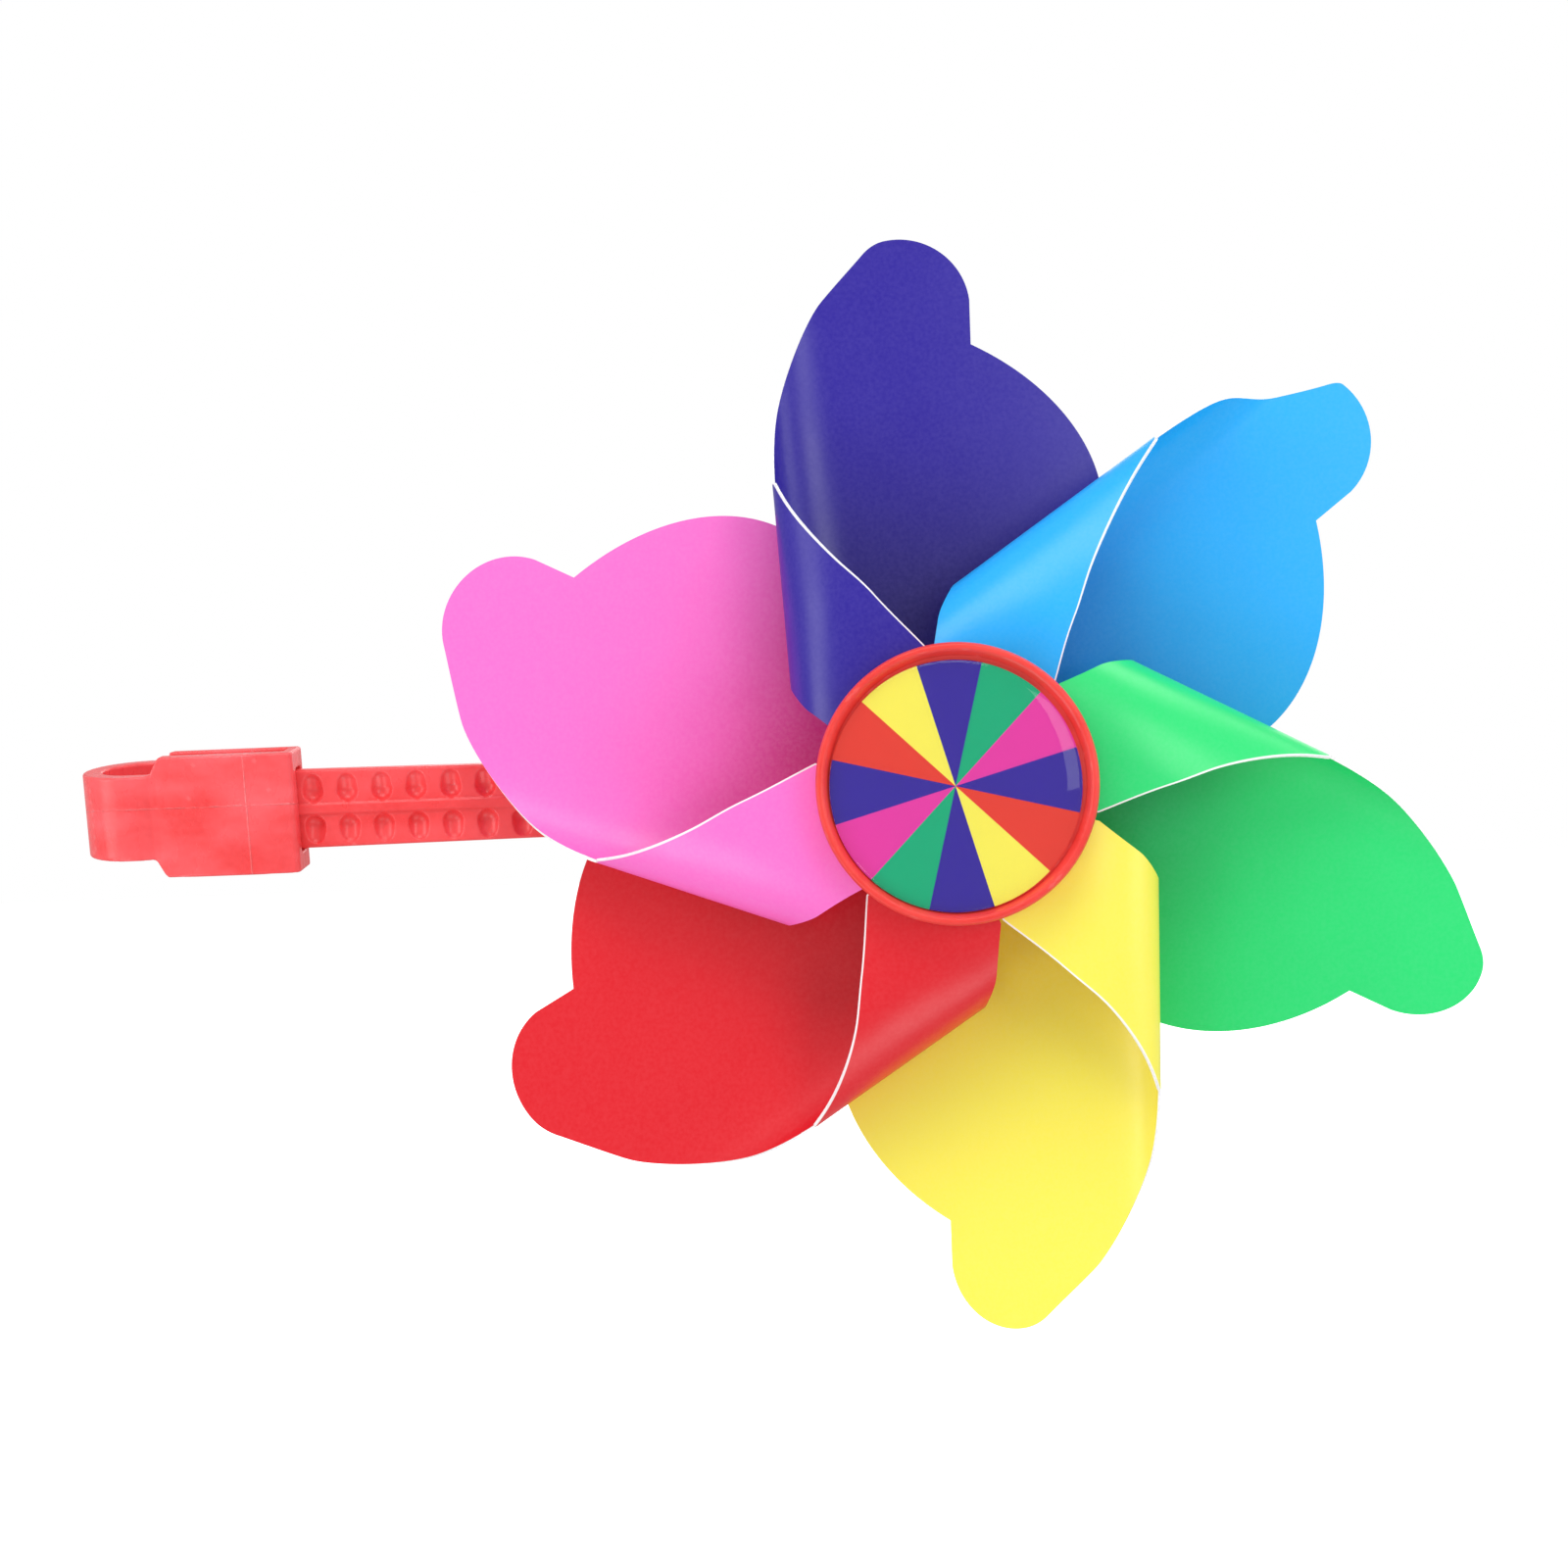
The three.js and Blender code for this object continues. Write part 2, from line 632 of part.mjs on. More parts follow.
function strapBody() {
  const { rootHalfHeight, tipHalfHeight, tipX, eyeRadius, eyeHole } = strap;
  const { ridgeHalfWidth, firstStudX, studPitch, studColumns, recess } = strap;
  const taper = (x) => rootHalfHeight + ((tipHalfHeight - rootHalfHeight) * x) / tipX;
  const ridgeFront = strapFront + strap.ridgeHeight;
  let body = strapBar(tipX, 0, strapRear, strapFront, taper)
    .add(rod(0, 0, eyeRadius, strapRear, strapFront, 24))
    .add(strapBar(tipX + 1, -eyeRadius, strapFront - 1, ridgeFront, () => ridgeHalfWidth))
    .subtract(rod(0, 0, eyeHole, strapRear - 1, ridgeFront + 1, 24));
  for (let column = 0; column < studColumns; column += 1) {
    const x = firstStudX + column * studPitch;
    for (const side of [-1, 1]) {
      const well = new THREE.CylinderGeometry(recess.halfHeight * 0.72, recess.halfHeight, recess.deep, 8);
      well.rotateX(Math.PI).scale(recess.halfWidth / recess.halfHeight, 1, 1);
      well.translate(x, -(strap.thickness - recess.deep) / 2 - 0.05, side * recess.rise);
      body = body.subtract(leanWithStrap(well, strapTurn(x)));
    }
  }
  return body;
}
addPiece("strap", strapBody(), softRed);

// ---------------------------------------------------------------- buckle
function buckleBody() {
  const { left, right, halfHeight, rear, front, slotFront, bulge, wall, endWall, corner } = buckle;
  const { ringX, ringDepth, ringOuter, ringInner, ringHalfHeight } = buckle;
  const shape = new THREE.Shape();
  shape.moveTo(left, -rear);
  shape.lineTo(right, -rear);
  shape.lineTo(right, -(front - corner));
  shape.quadraticCurveTo(right, -front, right - corner, -front);
  shape.quadraticCurveTo((left + right) / 2, -(front + 2 * bulge), left + corner, -front);
  shape.quadraticCurveTo(left, -front, left, -(front - corner));
  shape.closePath();
  const loop = new THREE.Shape();
  loop.absarc(ringX, -ringDepth, ringOuter, 0, 2 * Math.PI);
  const eye = new THREE.Shape();
  eye.absarc(ringX, -ringDepth, ringInner, 0, 2 * Math.PI);
  const window = strap.tipHalfHeight + strapPocket;
  const slotRear = rear + wall;
  const upright = column(shape, -halfHeight, halfHeight)
    .add(column(loop, -ringHalfHeight, ringHalfHeight))
    .subtract(column(eye, -halfHeight - 1, halfHeight + 1))
    .subtract(block(ringX, right - endWall, slotRear, slotFront, -halfHeight - 1, halfHeight + 1))
    .subtract(block(right - endWall - 1, right + 1, slotRear, slotFront, -window, window));
  return leanWithStrap(geometryOf(upright).translate(0, strap.depth, 0), radians(strap.tilt));
}
addPiece("strap_buckle", buckleBody(), softRed);

export default model;
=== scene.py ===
# Looks of the strap-on pinwheel: six curled sheet blades, a red cap with a printed disc under clear resin,
# a studded strap with its ring buckle, and the hub and base behind the wheel.
# Shapes are worked out in millimetres and written in metres. Depth is the distance in front of the bar
# face, so y = -depth. The wheel faces -Y and the strap runs toward -X.
import collections
import itertools
import json
import math

import bpy
import numpy as np
from mathutils import Matrix, Vector
from mathutils.geometry import delaunay_2d_cdt


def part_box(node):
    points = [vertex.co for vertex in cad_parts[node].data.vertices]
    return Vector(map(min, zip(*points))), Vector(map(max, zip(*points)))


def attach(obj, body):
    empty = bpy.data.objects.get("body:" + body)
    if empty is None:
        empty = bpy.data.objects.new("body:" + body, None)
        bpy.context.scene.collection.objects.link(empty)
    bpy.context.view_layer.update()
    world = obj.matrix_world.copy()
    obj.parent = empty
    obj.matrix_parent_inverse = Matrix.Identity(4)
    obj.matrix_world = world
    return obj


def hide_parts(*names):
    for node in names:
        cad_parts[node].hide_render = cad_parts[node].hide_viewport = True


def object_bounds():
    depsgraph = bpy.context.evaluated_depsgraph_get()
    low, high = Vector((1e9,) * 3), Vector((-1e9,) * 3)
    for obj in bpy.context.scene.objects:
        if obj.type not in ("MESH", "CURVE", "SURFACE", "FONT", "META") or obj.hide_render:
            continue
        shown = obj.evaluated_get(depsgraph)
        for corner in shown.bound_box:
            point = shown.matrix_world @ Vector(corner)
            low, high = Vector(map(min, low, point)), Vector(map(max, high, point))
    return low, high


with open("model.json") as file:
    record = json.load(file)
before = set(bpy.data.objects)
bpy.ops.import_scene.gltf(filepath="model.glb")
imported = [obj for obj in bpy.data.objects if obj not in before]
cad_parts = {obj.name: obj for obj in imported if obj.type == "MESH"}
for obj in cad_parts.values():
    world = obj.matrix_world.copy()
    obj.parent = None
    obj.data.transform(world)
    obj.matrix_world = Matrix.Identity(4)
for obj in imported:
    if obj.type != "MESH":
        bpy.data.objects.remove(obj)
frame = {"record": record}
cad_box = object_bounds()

MM = 0.001
BODY_OF = {node: body for body, nodes in frame["record"]["behaviour"]["bodies"].items() for node in nodes}


# ---------------------------------------------------------------- sizes from the frame
class Extent:
    """Where a CAD node lies, in millimetres."""

    def __init__(self, node):
        low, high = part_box(node)
        self.low = np.array(low) / MM
        self.high = np.array(high) / MM
        self.rear = -self.high[1]
        self.front = -self.low[1]
        self.radius = (self.high[0] - self.low[0]) / 2
        self.x = (self.low[0] + self.high[0]) / 2
        self.z = (self.low[2] + self.high[2]) / 2


# ---------------------------------------------------------------- pieces
def placed(name, data):
    """A new object in the scene."""
    made = bpy.data.objects.new(name, data)
    bpy.context.scene.collection.objects.link(made)
    return made


def add_piece(name, mesh, nodes):
    """Puts a finished mesh into the scene in place of the CAD nodes that it stands for."""
    piece = placed(name, mesh)
    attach(piece, BODY_OF[nodes[0]])
    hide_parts(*nodes)
    return piece


def mesh_of(name, points, faces, materials, smooth=True):
    mesh = bpy.data.meshes.new(name)
    mesh.from_pydata([tuple(p * MM for p in point) for point in points], [], faces)
    for material in materials:
        mesh.materials.append(material)
    mesh.polygons.foreach_set("use_smooth", [smooth] * len(mesh.polygons))
    mesh.update()
    return mesh


def smoothstep(value, low, high):
    share = np.clip((value - low) / (high - low), 0, 1)
    return share * share * (3 - 2 * share)


# ---------------------------------------------------------------- moulded pieces from distance fields
def span(value, low, high):
    """Distance outside a slab, below zero within it."""
    return np.abs(value - (low + high) / 2) - (high - low) / 2


def within(*faces, rounding=0.4):
    """The room inside all the given faces, with its edges rounded."""
    raised = [face + rounding for face in np.broadcast_arrays(*faces)]
    outside = np.sqrt(sum(np.maximum(face, 0) ** 2 for face in raised))
    return outside + np.minimum(np.maximum.reduce(raised), 0) - rounding


def join(first, second, blend):
    share = np.clip(0.5 + 0.5 * (second - first) / blend, 0, 1)
    return second + (first - second) * share - blend * share * (1 - share)


def cut(body, tool, blend):
    return -join(-body, tool, blend)


def slope_of(field, points, step):
    """Gradient of a distance field at each point."""
    columns = []
    for axis in range(3):
        shift = np.zeros(3)
        shift[axis] = step
        ahead = field(*(points + shift).T)
        behind = field(*(points - shift).T)
        columns.append((ahead - behind) / (2 * step))
    return np.stack(columns, axis=1)


def traced(name, field, low, high, cell, material):
    """Mesh of the surface where a distance field is zero: a vertex in each grid cell that the surface
    crosses, pulled onto the surface, and a quad round each grid edge that it crosses."""
    axes = [np.arange(a - 2 * cell, b + 3 * cell, cell) for a, b in zip(low, high)]
    grid = np.meshgrid(*axes, indexing="ij")
    values = field(*grid)
    cells = tuple(n - 1 for n in values.shape)
    total = np.zeros(cells + (3,))
    hits = np.zeros(cells)
    crossings = []
    for axis in range(3):
        lower = tuple(slice(0, -1) if a == axis else slice(None) for a in range(3))
        upper = tuple(slice(1, None) if a == axis else slice(None) for a in range(3))
        start, end = values[lower], values[upper]
        crossed = (start < 0) != (end < 0)
        share = np.where(crossed, start / np.where(crossed, start - end, 1), 0)
        place = [grid[a][lower] + (share * cell if a == axis else 0) for a in range(3)]
        for shift in itertools.product((0, 1), repeat=2):
            shifts = list(shift)
            shifts.insert(axis, 0)
            window = tuple(slice(s, s + n) for s, n in zip(shifts, cells))
            hits += crossed[window]
            for a in range(3):
                total[..., a] += np.where(crossed[window], place[a][window], 0)
        crossings.append((crossed, start < 0))
    used = hits > 0
    number = np.full(cells, -1)
    number[used] = np.arange(used.sum())
    points = total[used] / hits[used][:, None]
    for _ in range(3):
        slope = slope_of(field, points, cell * 0.1)
        length = np.maximum((slope**2).sum(axis=1), 0.25)
        points = points - slope * (field(*points.T) / length)[:, None]
    faces = []
    for axis, (crossed, inside) in enumerate(crossings):
        second, third = (axis + 1) % 3, (axis + 2) % 3
        where = np.argwhere(crossed)
        outward = inside[crossed]
        corners = []
        for a, b in ((1, 1), (0, 1), (0, 0), (1, 0)):
            shifted = where.copy()
            shifted[:, second] -= a
            shifted[:, third] -= b
            corners.append(number[tuple(shifted.T)])
        quads = np.stack(corners, axis=1)
        quads[~outward] = quads[~outward][:, ::-1]
        faces.extend(quads.tolist())
    mesh = mesh_of(name, points, faces, [material])
    normals = slope_of(field, points, cell * 0.1)
    normals /= np.linalg.norm(normals, axis=1)[:, None]
    mesh.normals_split_custom_set_from_vertices(normals.tolist())
    return mesh


def add_traced(name, node, field, cell, material):
    """Puts the traced shape in the node's place."""
    size = Extent(node)
    add_piece(name, traced(name, field, size.low, size.high, cell, material), [node])


# ---------------------------------------------------------------- turned pieces
ROUND_SIDES = 160


def softened(corners, steps=5):
    """A closed profile of (radius, depth, rounding) corners with each corner as an arc."""
    made = []
    count = len(corners)
    for i, (radius, depth, rounding) in enumerate(corners):
        here = Vector((radius, depth))
        if rounding == 0:
            made.append(here)
            continue
        before = Vector(corners[i - 1][:2]) - here
        after = Vector(corners[(i + 1) % count][:2]) - here
        half = before.angle(after) / 2
        reach = min(rounding / math.tan(half), before.length * 0.49, after.length * 0.49)
        start = here + before.normalized() * reach
        end = here + after.normalized() * reach
        for step in range(steps + 1):
            t = step / steps
            made.append(start * (1 - t) ** 2 + here * 2 * t * (1 - t) + end * t * t)
    return made


def turned(name, corners, material, x=0, z=0, sides=ROUND_SIDES):
    """A piece turned about an axis along Y, from its closed profile."""
    profile = softened(corners)
    points, faces, rings = [], [], []
    for point in profile:
        if point.x < 1e-6:
            rings.append([len(points)] * sides)
            points.append((x, -point.y, z))
            continue
        rings.append(list(range(len(points), len(points) + sides)))
        for i in range(sides):
            angle = 2 * math.pi * i / sides
            points.append((x + point.x * math.cos(angle), -point.y, z + point.x * math.sin(angle)))
    for ring, following in zip(rings, rings[1:] + rings[:1]):
        for i in range(sides):
            j = (i + 1) % sides
            face = list(dict.fromkeys((ring[i], ring[j], following[j], following[i])))
            if len(face) > 2:
                faces.append(face)
    mesh = mesh_of(name, points, faces, [material])
    facing_out(mesh)
    mesh.set_sharp_from_angle(angle=math.radians(35))
    return mesh


def facing_out(mesh):
    """Turns every face over if the closed mesh has a negative volume."""
    volume = 0
    for polygon in mesh.polygons:
        corners = [mesh.vertices[i].co for i in polygon.vertices]
        for b, c in zip(corners[1:], corners[2:]):
            volume += corners[0].dot(b.cross(c))
    if volume < 0:
        mesh.flip_normals()


# ---------------------------------------------------------------- materials
def colour(red, green, blue):
    """A screen colour from 0 to 255 as linear light."""
    def linear(value):
        share = value / 255
        return share / 12.92 if share <= 0.04045 else ((share + 0.055) / 1.055) ** 2.4

    return (linear(red), linear(green), linear(blue), 1)


class Nodes:
    """Makes a material's nodes, with each input given as a value or as another node's output."""

    def __init__(self, name):
        self.material = bpy.data.materials.new(name)
        self.material.use_nodes = True
        self.tree = self.material.node_tree
        self.tree.nodes.clear()

    def add(self, kind, settings=None, **inputs):
        node = self.tree.nodes.new(kind)
        for key, value in (settings or {}).items():
            setattr(node, key, value)
        for key, value in inputs.items():
            socket = self.socket(node, key)
            if isinstance(value, bpy.types.NodeSocket):
                self.tree.links.new(value, socket)
            else:
                socket.default_value = value
        return node

    def socket(self, node, key):
        if key.startswith("at_"):
            return node.inputs[int(key[3:])]
        return node.inputs[key.replace("_", " ")]

    def place(self):
        return self.add("ShaderNodeTexCoord").outputs["Object"]

    def noise(self, scale, detail=3, stretch=None):
        place = self.place()
        if stretch:
            place = self.add("ShaderNodeMapping", Vector=place, Scale=stretch).outputs["Vector"]
        return self.add("ShaderNodeTexNoise", Vector=place, Scale=scale, Detail=detail).outputs["Fac"]

    def spread(self, value, low, high, start=0.3, end=0.7):
        """Maps the middle of a noise's range onto low to high."""
        made = self.add("ShaderNodeMapRange", at_0=value, at_1=start, at_2=end, at_3=low, at_4=high)
        return made.outputs["Result"]

    def mixed(self, share, first, second, blend="MIX"):
        settings = {"data_type": "RGBA", "blend_type": blend}
        return self.add("ShaderNodeMix", settings, at_0=share, at_6=first, at_7=second).outputs[2]

    def maths(self, operation, first, second=0.0, clamp=False):
        settings = {"operation": operation, "use_clamp": clamp}
        return self.add("ShaderNodeMath", settings, at_0=first, at_1=second).outputs[0]

    def bump(self, height, distance, strength=1.0, under=None):
        node = self.add("ShaderNodeBump", Height=height, Distance=distance, Strength=strength)
        if under is not None:
            self.tree.links.new(under, node.inputs["Normal"])
        return node.outputs["Normal"]

    def principled(self, **inputs):
        shader = self.add("ShaderNodeBsdfPrincipled", **inputs)
        return self.finish(shader.outputs["BSDF"])

    def finish(self, surface):
        self.add("ShaderNodeOutputMaterial", Surface=surface)
        return self.material


def shade(tone, share):
    """A colour scaled in brightness."""
    return tuple(channel * share for channel in tone[:3]) + (1,)


def moulded_plastic(name, tone, deep, roughness, glow=0.0, witness=None):
    """Injection-moulded plastic: flow marks, fine skin, painted shade in hollows, paler edges and mould
    lines.
    """
    n = Nodes(name)
    flow = n.noise(55, 4, stretch=(1, 1, 2.4))
    mottle = n.noise(900, 2)
    base = n.mixed(n.spread(flow, 0, 1, 0.35, 0.65), deep, tone)
    base = n.mixed(n.spread(mottle, 0, 0.16), base, shade(tone, 1.18))
    edge = n.add("ShaderNodeNewGeometry").outputs["Pointiness"]
    # painted shade: the colour is made darker in hollows and creases, where shade falls
    base = n.mixed(n.spread(edge, 0.6, 0, 0.42, 0.49), base, shade(deep, 0.62))
    worn = n.spread(edge, 0, 0.16, 0.53, 0.6)
    pale = tuple(min(1, channel * 0.75 + 0.25) for channel in tone[:3]) + (1,)
    base = n.mixed(worn, base, pale)
    scuff = n.spread(n.noise(260, 5, stretch=(1, 3, 0.4)), -0.06, 0.1)
    rough = n.maths("ADD", scuff, roughness)
    height = n.bump(n.noise(2400, 2), 0.00003, 0.25)
    height = n.bump(n.noise(160, 3), 0.0003, 0.08, under=height)
    if witness is not None:
        line = witness(n)
        height = n.bump(line, 0.00016, 0.9, under=height)
        base = n.mixed(n.spread(line, 0, 0.3, 0, 1), base, pale)
    return n.principled(
        Base_Color=base,
        Roughness=rough,
        Normal=height,
        Subsurface_Weight=glow,
        Subsurface_Radius=(1.0, 0.25, 0.15),
        Subsurface_Scale=0.0007,
        IOR=1.46,
    )


def sheet_plastic(name, tone, deep, pale):
    """Satin printed sheet: painted shade toward the hub, faint mottle, white margin on the flap's cut edge.
    """
    n = Nodes(name)
    broad = n.spread(n.noise(26, 3), -0.08, 0.08)
    grain = n.noise(1500, 2)
    # painted shade: the open lobe is darker toward the hub, where the flaps shade it; the flap past the crest
    # stays clear
    opened = n.add("ShaderNodeAttribute", {"attribute_name": "opened"}).outputs["Fac"]
    base = n.mixed(n.maths("ADD", opened, broad, clamp=True), deep, tone)
    base = n.mixed(n.spread(grain, 0, 0.08), base, pale)
    margin = n.add("ShaderNodeAttribute", {"attribute_name": "margin"}).outputs["Fac"]
    base = n.mixed(n.spread(margin, 0, 0.92, 0.3, 0.5), base, colour(250, 248, 250))
    rough = n.spread(n.noise(110, 3), 0.28, 0.35)
    skin = n.bump(n.noise(3200, 2), 0.00002, 0.22)
    waves = n.bump(n.noise(32, 2), 0.0006, 0.1, under=skin)
    return n.principled(Base_Color=base, Roughness=rough, Normal=waves, IOR=1.48)


def sheet_core():
    """The white core that shows along a cut edge."""
    n = Nodes("sheet_core")
    fibre = n.noise(1800, 3)
    base = n.mixed(n.spread(fibre, 0, 1), colour(236, 234, 236), colour(255, 255, 255))
    return n.principled(Base_Color=base, Roughness=n.spread(fibre, 0.45, 0.6))


def printed_ink(name, tone):
    """Glossy print with a faint dot pattern."""
    n = Nodes(name)
    dots = n.add("ShaderNodeTexVoronoi", Vector=n.place(), Scale=3600).outputs["Distance"]
    base = n.mixed(n.spread(dots, 0, 0.12, 0.2, 0.6), tone, shade(tone, 0.8))
    base = n.mixed(n.spread(n.noise(300, 3), 0, 0.1), base, shade(tone, 1.15))
    return n.principled(Base_Color=base, Roughness=n.spread(dots, 0.3, 0.38), Specular_IOR_Level=0.1)


def clear_resin():
    """Thin clear resin: what is under it shows through, and it mirrors more at its sloping edge."""
    n = Nodes("clear_resin")
    ripple = n.bump(n.noise(120, 2), 0.0002, 0.05)
    facing = n.add("ShaderNodeLayerWeight", Blend=0.5, Normal=ripple).outputs["Facing"]
    mirror = n.spread(n.maths("POWER", facing, 2.4), 0.02, 0.7, 0, 1)
    through = n.add("ShaderNodeBsdfTransparent", Color=(1, 1, 1, 1)).outputs[0]
    gloss = n.add("ShaderNodeBsdfGlossy", Color=(1, 1, 1, 1), Roughness=0.04, Normal=ripple).outputs[0]
    return n.finish(n.add("ShaderNodeMixShader", at_0=mirror, at_1=through, at_2=gloss).outputs[0])


def turned_steel():
    """Zinc-plated steel with fine turning marks."""
    n = Nodes("turned_steel")
    rings = n.noise(1400, 2, stretch=(0.15, 3, 0.15))
    stain = n.noise(320, 4)
    base = n.mixed(n.spread(stain, 0, 1), colour(150, 152, 156), colour(205, 207, 210))
    return n.principled(
        Base_Color=base,
        Metallic=1.0,
        Roughness=n.spread(rings, 0.2, 0.38),
        Normal=n.bump(rings, 0.00003, 0.4),
    )


def natural_nylon():
    n = Nodes("natural_nylon")
    cloud = n.noise(420, 3)
    base = n.mixed(n.spread(cloud, 0, 1), colour(222, 217, 203), colour(240, 237, 228))
    return n.principled(
        Base_Color=base,
        Roughness=n.spread(n.noise(700, 2), 0.42, 0.55),
        Normal=n.bump(n.noise(2600, 2), 0.00003, 0.3),
        Subsurface_Weight=0.2,
        Subsurface_Scale=0.001,
    )


def grip_rubber():
    """Black rubber with a crossed grip texture and dust in it."""
    n = Nodes("grip_rubber")
    place, heights = n.place(), []
    for turn in (45, -45):
        turned_place = n.add(
            "ShaderNodeMapping", Vector=place, Rotation=(0, math.radians(turn), 0)
        ).outputs["Vector"]
        settings = {"wave_type": "BANDS", "bands_direction": "X"}
        heights.append(n.add("ShaderNodeTexWave", settings, Vector=turned_place, Scale=260).outputs["Fac"])
    ribs = n.maths("MAXIMUM", *heights)
    dust = n.noise(600, 4)
    base = n.mixed(n.spread(dust, 0, 0.6, 0.45, 0.75), colour(30, 30, 32), colour(74, 72, 72))
    return n.principled(
        Base_Color=base,
        Roughness=n.spread(dust, 0.7, 0.9),
        Normal=n.bump(ribs, 0.0003, 0.5, under=n.bump(n.noise(3000, 2), 0.00004, 0.5)),
    )


PARTING_HEIGHT = 0.9
GATE_X = -127.2


def mould_lines(n):
    """Height of the buckle's parting line round its middle and of a gate line across its front."""
    parts = n.add("ShaderNodeSeparateXYZ", Vector=n.place())
    lines = []
    for axis, at, half in (("Z", PARTING_HEIGHT, 0.16), ("X", GATE_X, 0.2)):
        away = n.maths("ABSOLUTE", n.maths("SUBTRACT", parts.outputs[axis], at * MM))
        lines.append(n.spread(away, 1, 0, 0, half * MM))
    patchy = n.spread(n.noise(700, 4), 0.25, 1)
    return n.maths("MULTIPLY", n.maths("MAXIMUM", *lines), patchy)


red_plastic = moulded_plastic("red_plastic", colour(236, 68, 62), colour(228, 54, 48), 0.34, glow=0.12)
soft_red = moulded_plastic("soft_red_plastic", colour(246, 82, 86), colour(236, 58, 60), 0.3, glow=0.15)
buckle_red = moulded_plastic(
    "buckle_red_plastic", colour(250, 98, 104), colour(236, 62, 64), 0.26, glow=0.15, witness=mould_lines
)
white_core = sheet_core()
steel = turned_steel()
nylon = natural_nylon()

# ---------------------------------------------------------------- blades
SHEET = 0.5
REAR_SEAT_DEPTH = 19
FRONT_SEAT_RISE = 22.3
BLADE_PITCH = 0.08
LOBE_DROP = 1.2
CURL_FLAT, CURL_CROWDING, CURL_STEPS = 16, 0.5, 400
CONE_SHARE, CONE_START, CONE_END = 0.28, 18, 70
LEAN_MIDDLE = 35  # the crest is as listed at this distance along
DRAW_REACH = 60  # where the curl is drawn out by its full amount

Kind = collections.namedtuple("Kind", "heading crest lean twist narrow draw")
BLADES = {
    "purple": Kind(95.9, 24.8, -0.04, -5.9, -0.01, -6.5),
    "blue": Kind(44, 21.1, -0.18, -10, -0.02, 3.6),
    "green": Kind(-21.7, 27.7, -0.1, -4.6, 0.13, -4.3),
    "yellow": Kind(-84.8, 29.7, -0.1, -2.3, 0.14, -5.9),
    "red": Kind(-143.6, 31.5, -0.04, -1.5, -0.08, -6.2),
    "pink": Kind(159.7, 31.5, 0.01, -3.7, -0.05, -7),
}
SHEET_TONES = {
    "purple": ((38, 20, 150), (24, 10, 96), (120, 105, 200)),
    "blue": ((20, 174, 252), (8, 124, 214), (120, 205, 255)),
    "green": ((36, 222, 118), (22, 168, 92), (120, 225, 170)),
    "yellow": ((252, 240, 84), (246, 216, 58), (255, 250, 170)),
    "red": ((222, 18, 34), (192, 12, 28), (245, 110, 115)),
    "pink": ((252, 112, 206), (208, 36, 124), (255, 180, 230)),
}  # in the open, painted shade toward the hub, mottle

EAR = {"across": -1.5, "along": 82.7, "radius": 12.1, "end": 56}
LOBE = {"across": 9.5, "along": 52.6, "long": 42.1, "short": 30.1, "tilt": 19.1, "start": 215, "notch": 109}
TAB_INNER = 9
TAB_LENGTH = 20
REAR_TAB_HALF_ANGLE = 25
FRONT_TAB = {"upper": 13.7, "lower": 69.1, "reach": 23.6}
PEG = {"radius": 1.2, "hole": 1.6, "ring": 12}
MARGIN = 0.45  # width of the row of triangles along the outline
FLAP_LINE, FLAP_SLOPE = 69, 0.72  # the flap's outer edge lies beyond this line
HUB_SHADE_FADE = (18, 58)  # where the painted shade toward the hub fades out


def curl_section():
    """Side and rise along the fold's section, and the section's length."""
    t = (np.arange(CURL_STEPS) + 0.5) / CURL_STEPS
    turn = np.pi * (t - CURL_CROWDING * np.sin(2 * np.pi * t) / (2 * np.pi))
    side = np.concatenate([[0], np.cumsum(np.cos(turn))])
    rise = np.concatenate([[0], np.cumsum(np.sin(turn))])
    step = FRONT_SEAT_RISE / rise[-1]
    return side * step, rise * step, step * CURL_STEPS


SECTION_SIDE, SECTION_RISE, SECTION_LENGTH = curl_section()
CREST_ACROSS = CURL_FLAT + SECTION_LENGTH / 2
CREST_SIDE = CURL_FLAT + SECTION_SIDE[CURL_STEPS // 2]
FRONT_ACROSS = CURL_FLAT + SECTION_LENGTH
AXIS_ACROSS = FRONT_ACROSS + CURL_FLAT


def blade_points(kind, across, along):
    """Where points of the flat pattern end up on a finished blade, on the sheet's middle surface."""
    place = (across - CURL_FLAT) / SECTION_LENGTH
    folded_side = CURL_FLAT + np.interp(place, np.linspace(0, 1, CURL_STEPS + 1), SECTION_SIDE)
    flat_side = np.where(across <= CURL_FLAT, across, AXIS_ACROSS - across)
    in_fold = np.clip(place, 0, 1)
    flat_side = np.where((place > 0) & (place < 1), folded_side, flat_side)
    flat_rise = np.interp(in_fold, np.linspace(0, 1, CURL_STEPS + 1), SECTION_RISE)
    crest = kind.crest + kind.lean * (along - LEAN_MIDDLE)
    side = np.where(across > 0, flat_side * crest / CREST_SIDE, across * (1 - kind.narrow))
    shallow = 1 - CONE_SHARE * smoothstep(along, CONE_START, CONE_END)
    folded = smoothstep(across, CURL_FLAT, FRONT_ACROSS)
    opened = np.minimum(0, across) / LOBE["short"]
    rise = flat_rise * shallow + BLADE_PITCH * side * (1 - folded) - LOBE_DROP * opened**2
    out = along + kind.draw * np.sin(np.pi * in_fold) ** 2 * along / DRAW_REACH
    twist = kind.twist * smoothstep(across, CREST_ACROSS, FRONT_ACROSS)
    turn = np.radians(kind.heading - 90 + twist)
    c, s = np.cos(turn), np.sin(turn)
    return np.stack([-side * c - out * s, -(REAR_SEAT_DEPTH + rise), -side * s + out * c], axis=-1)


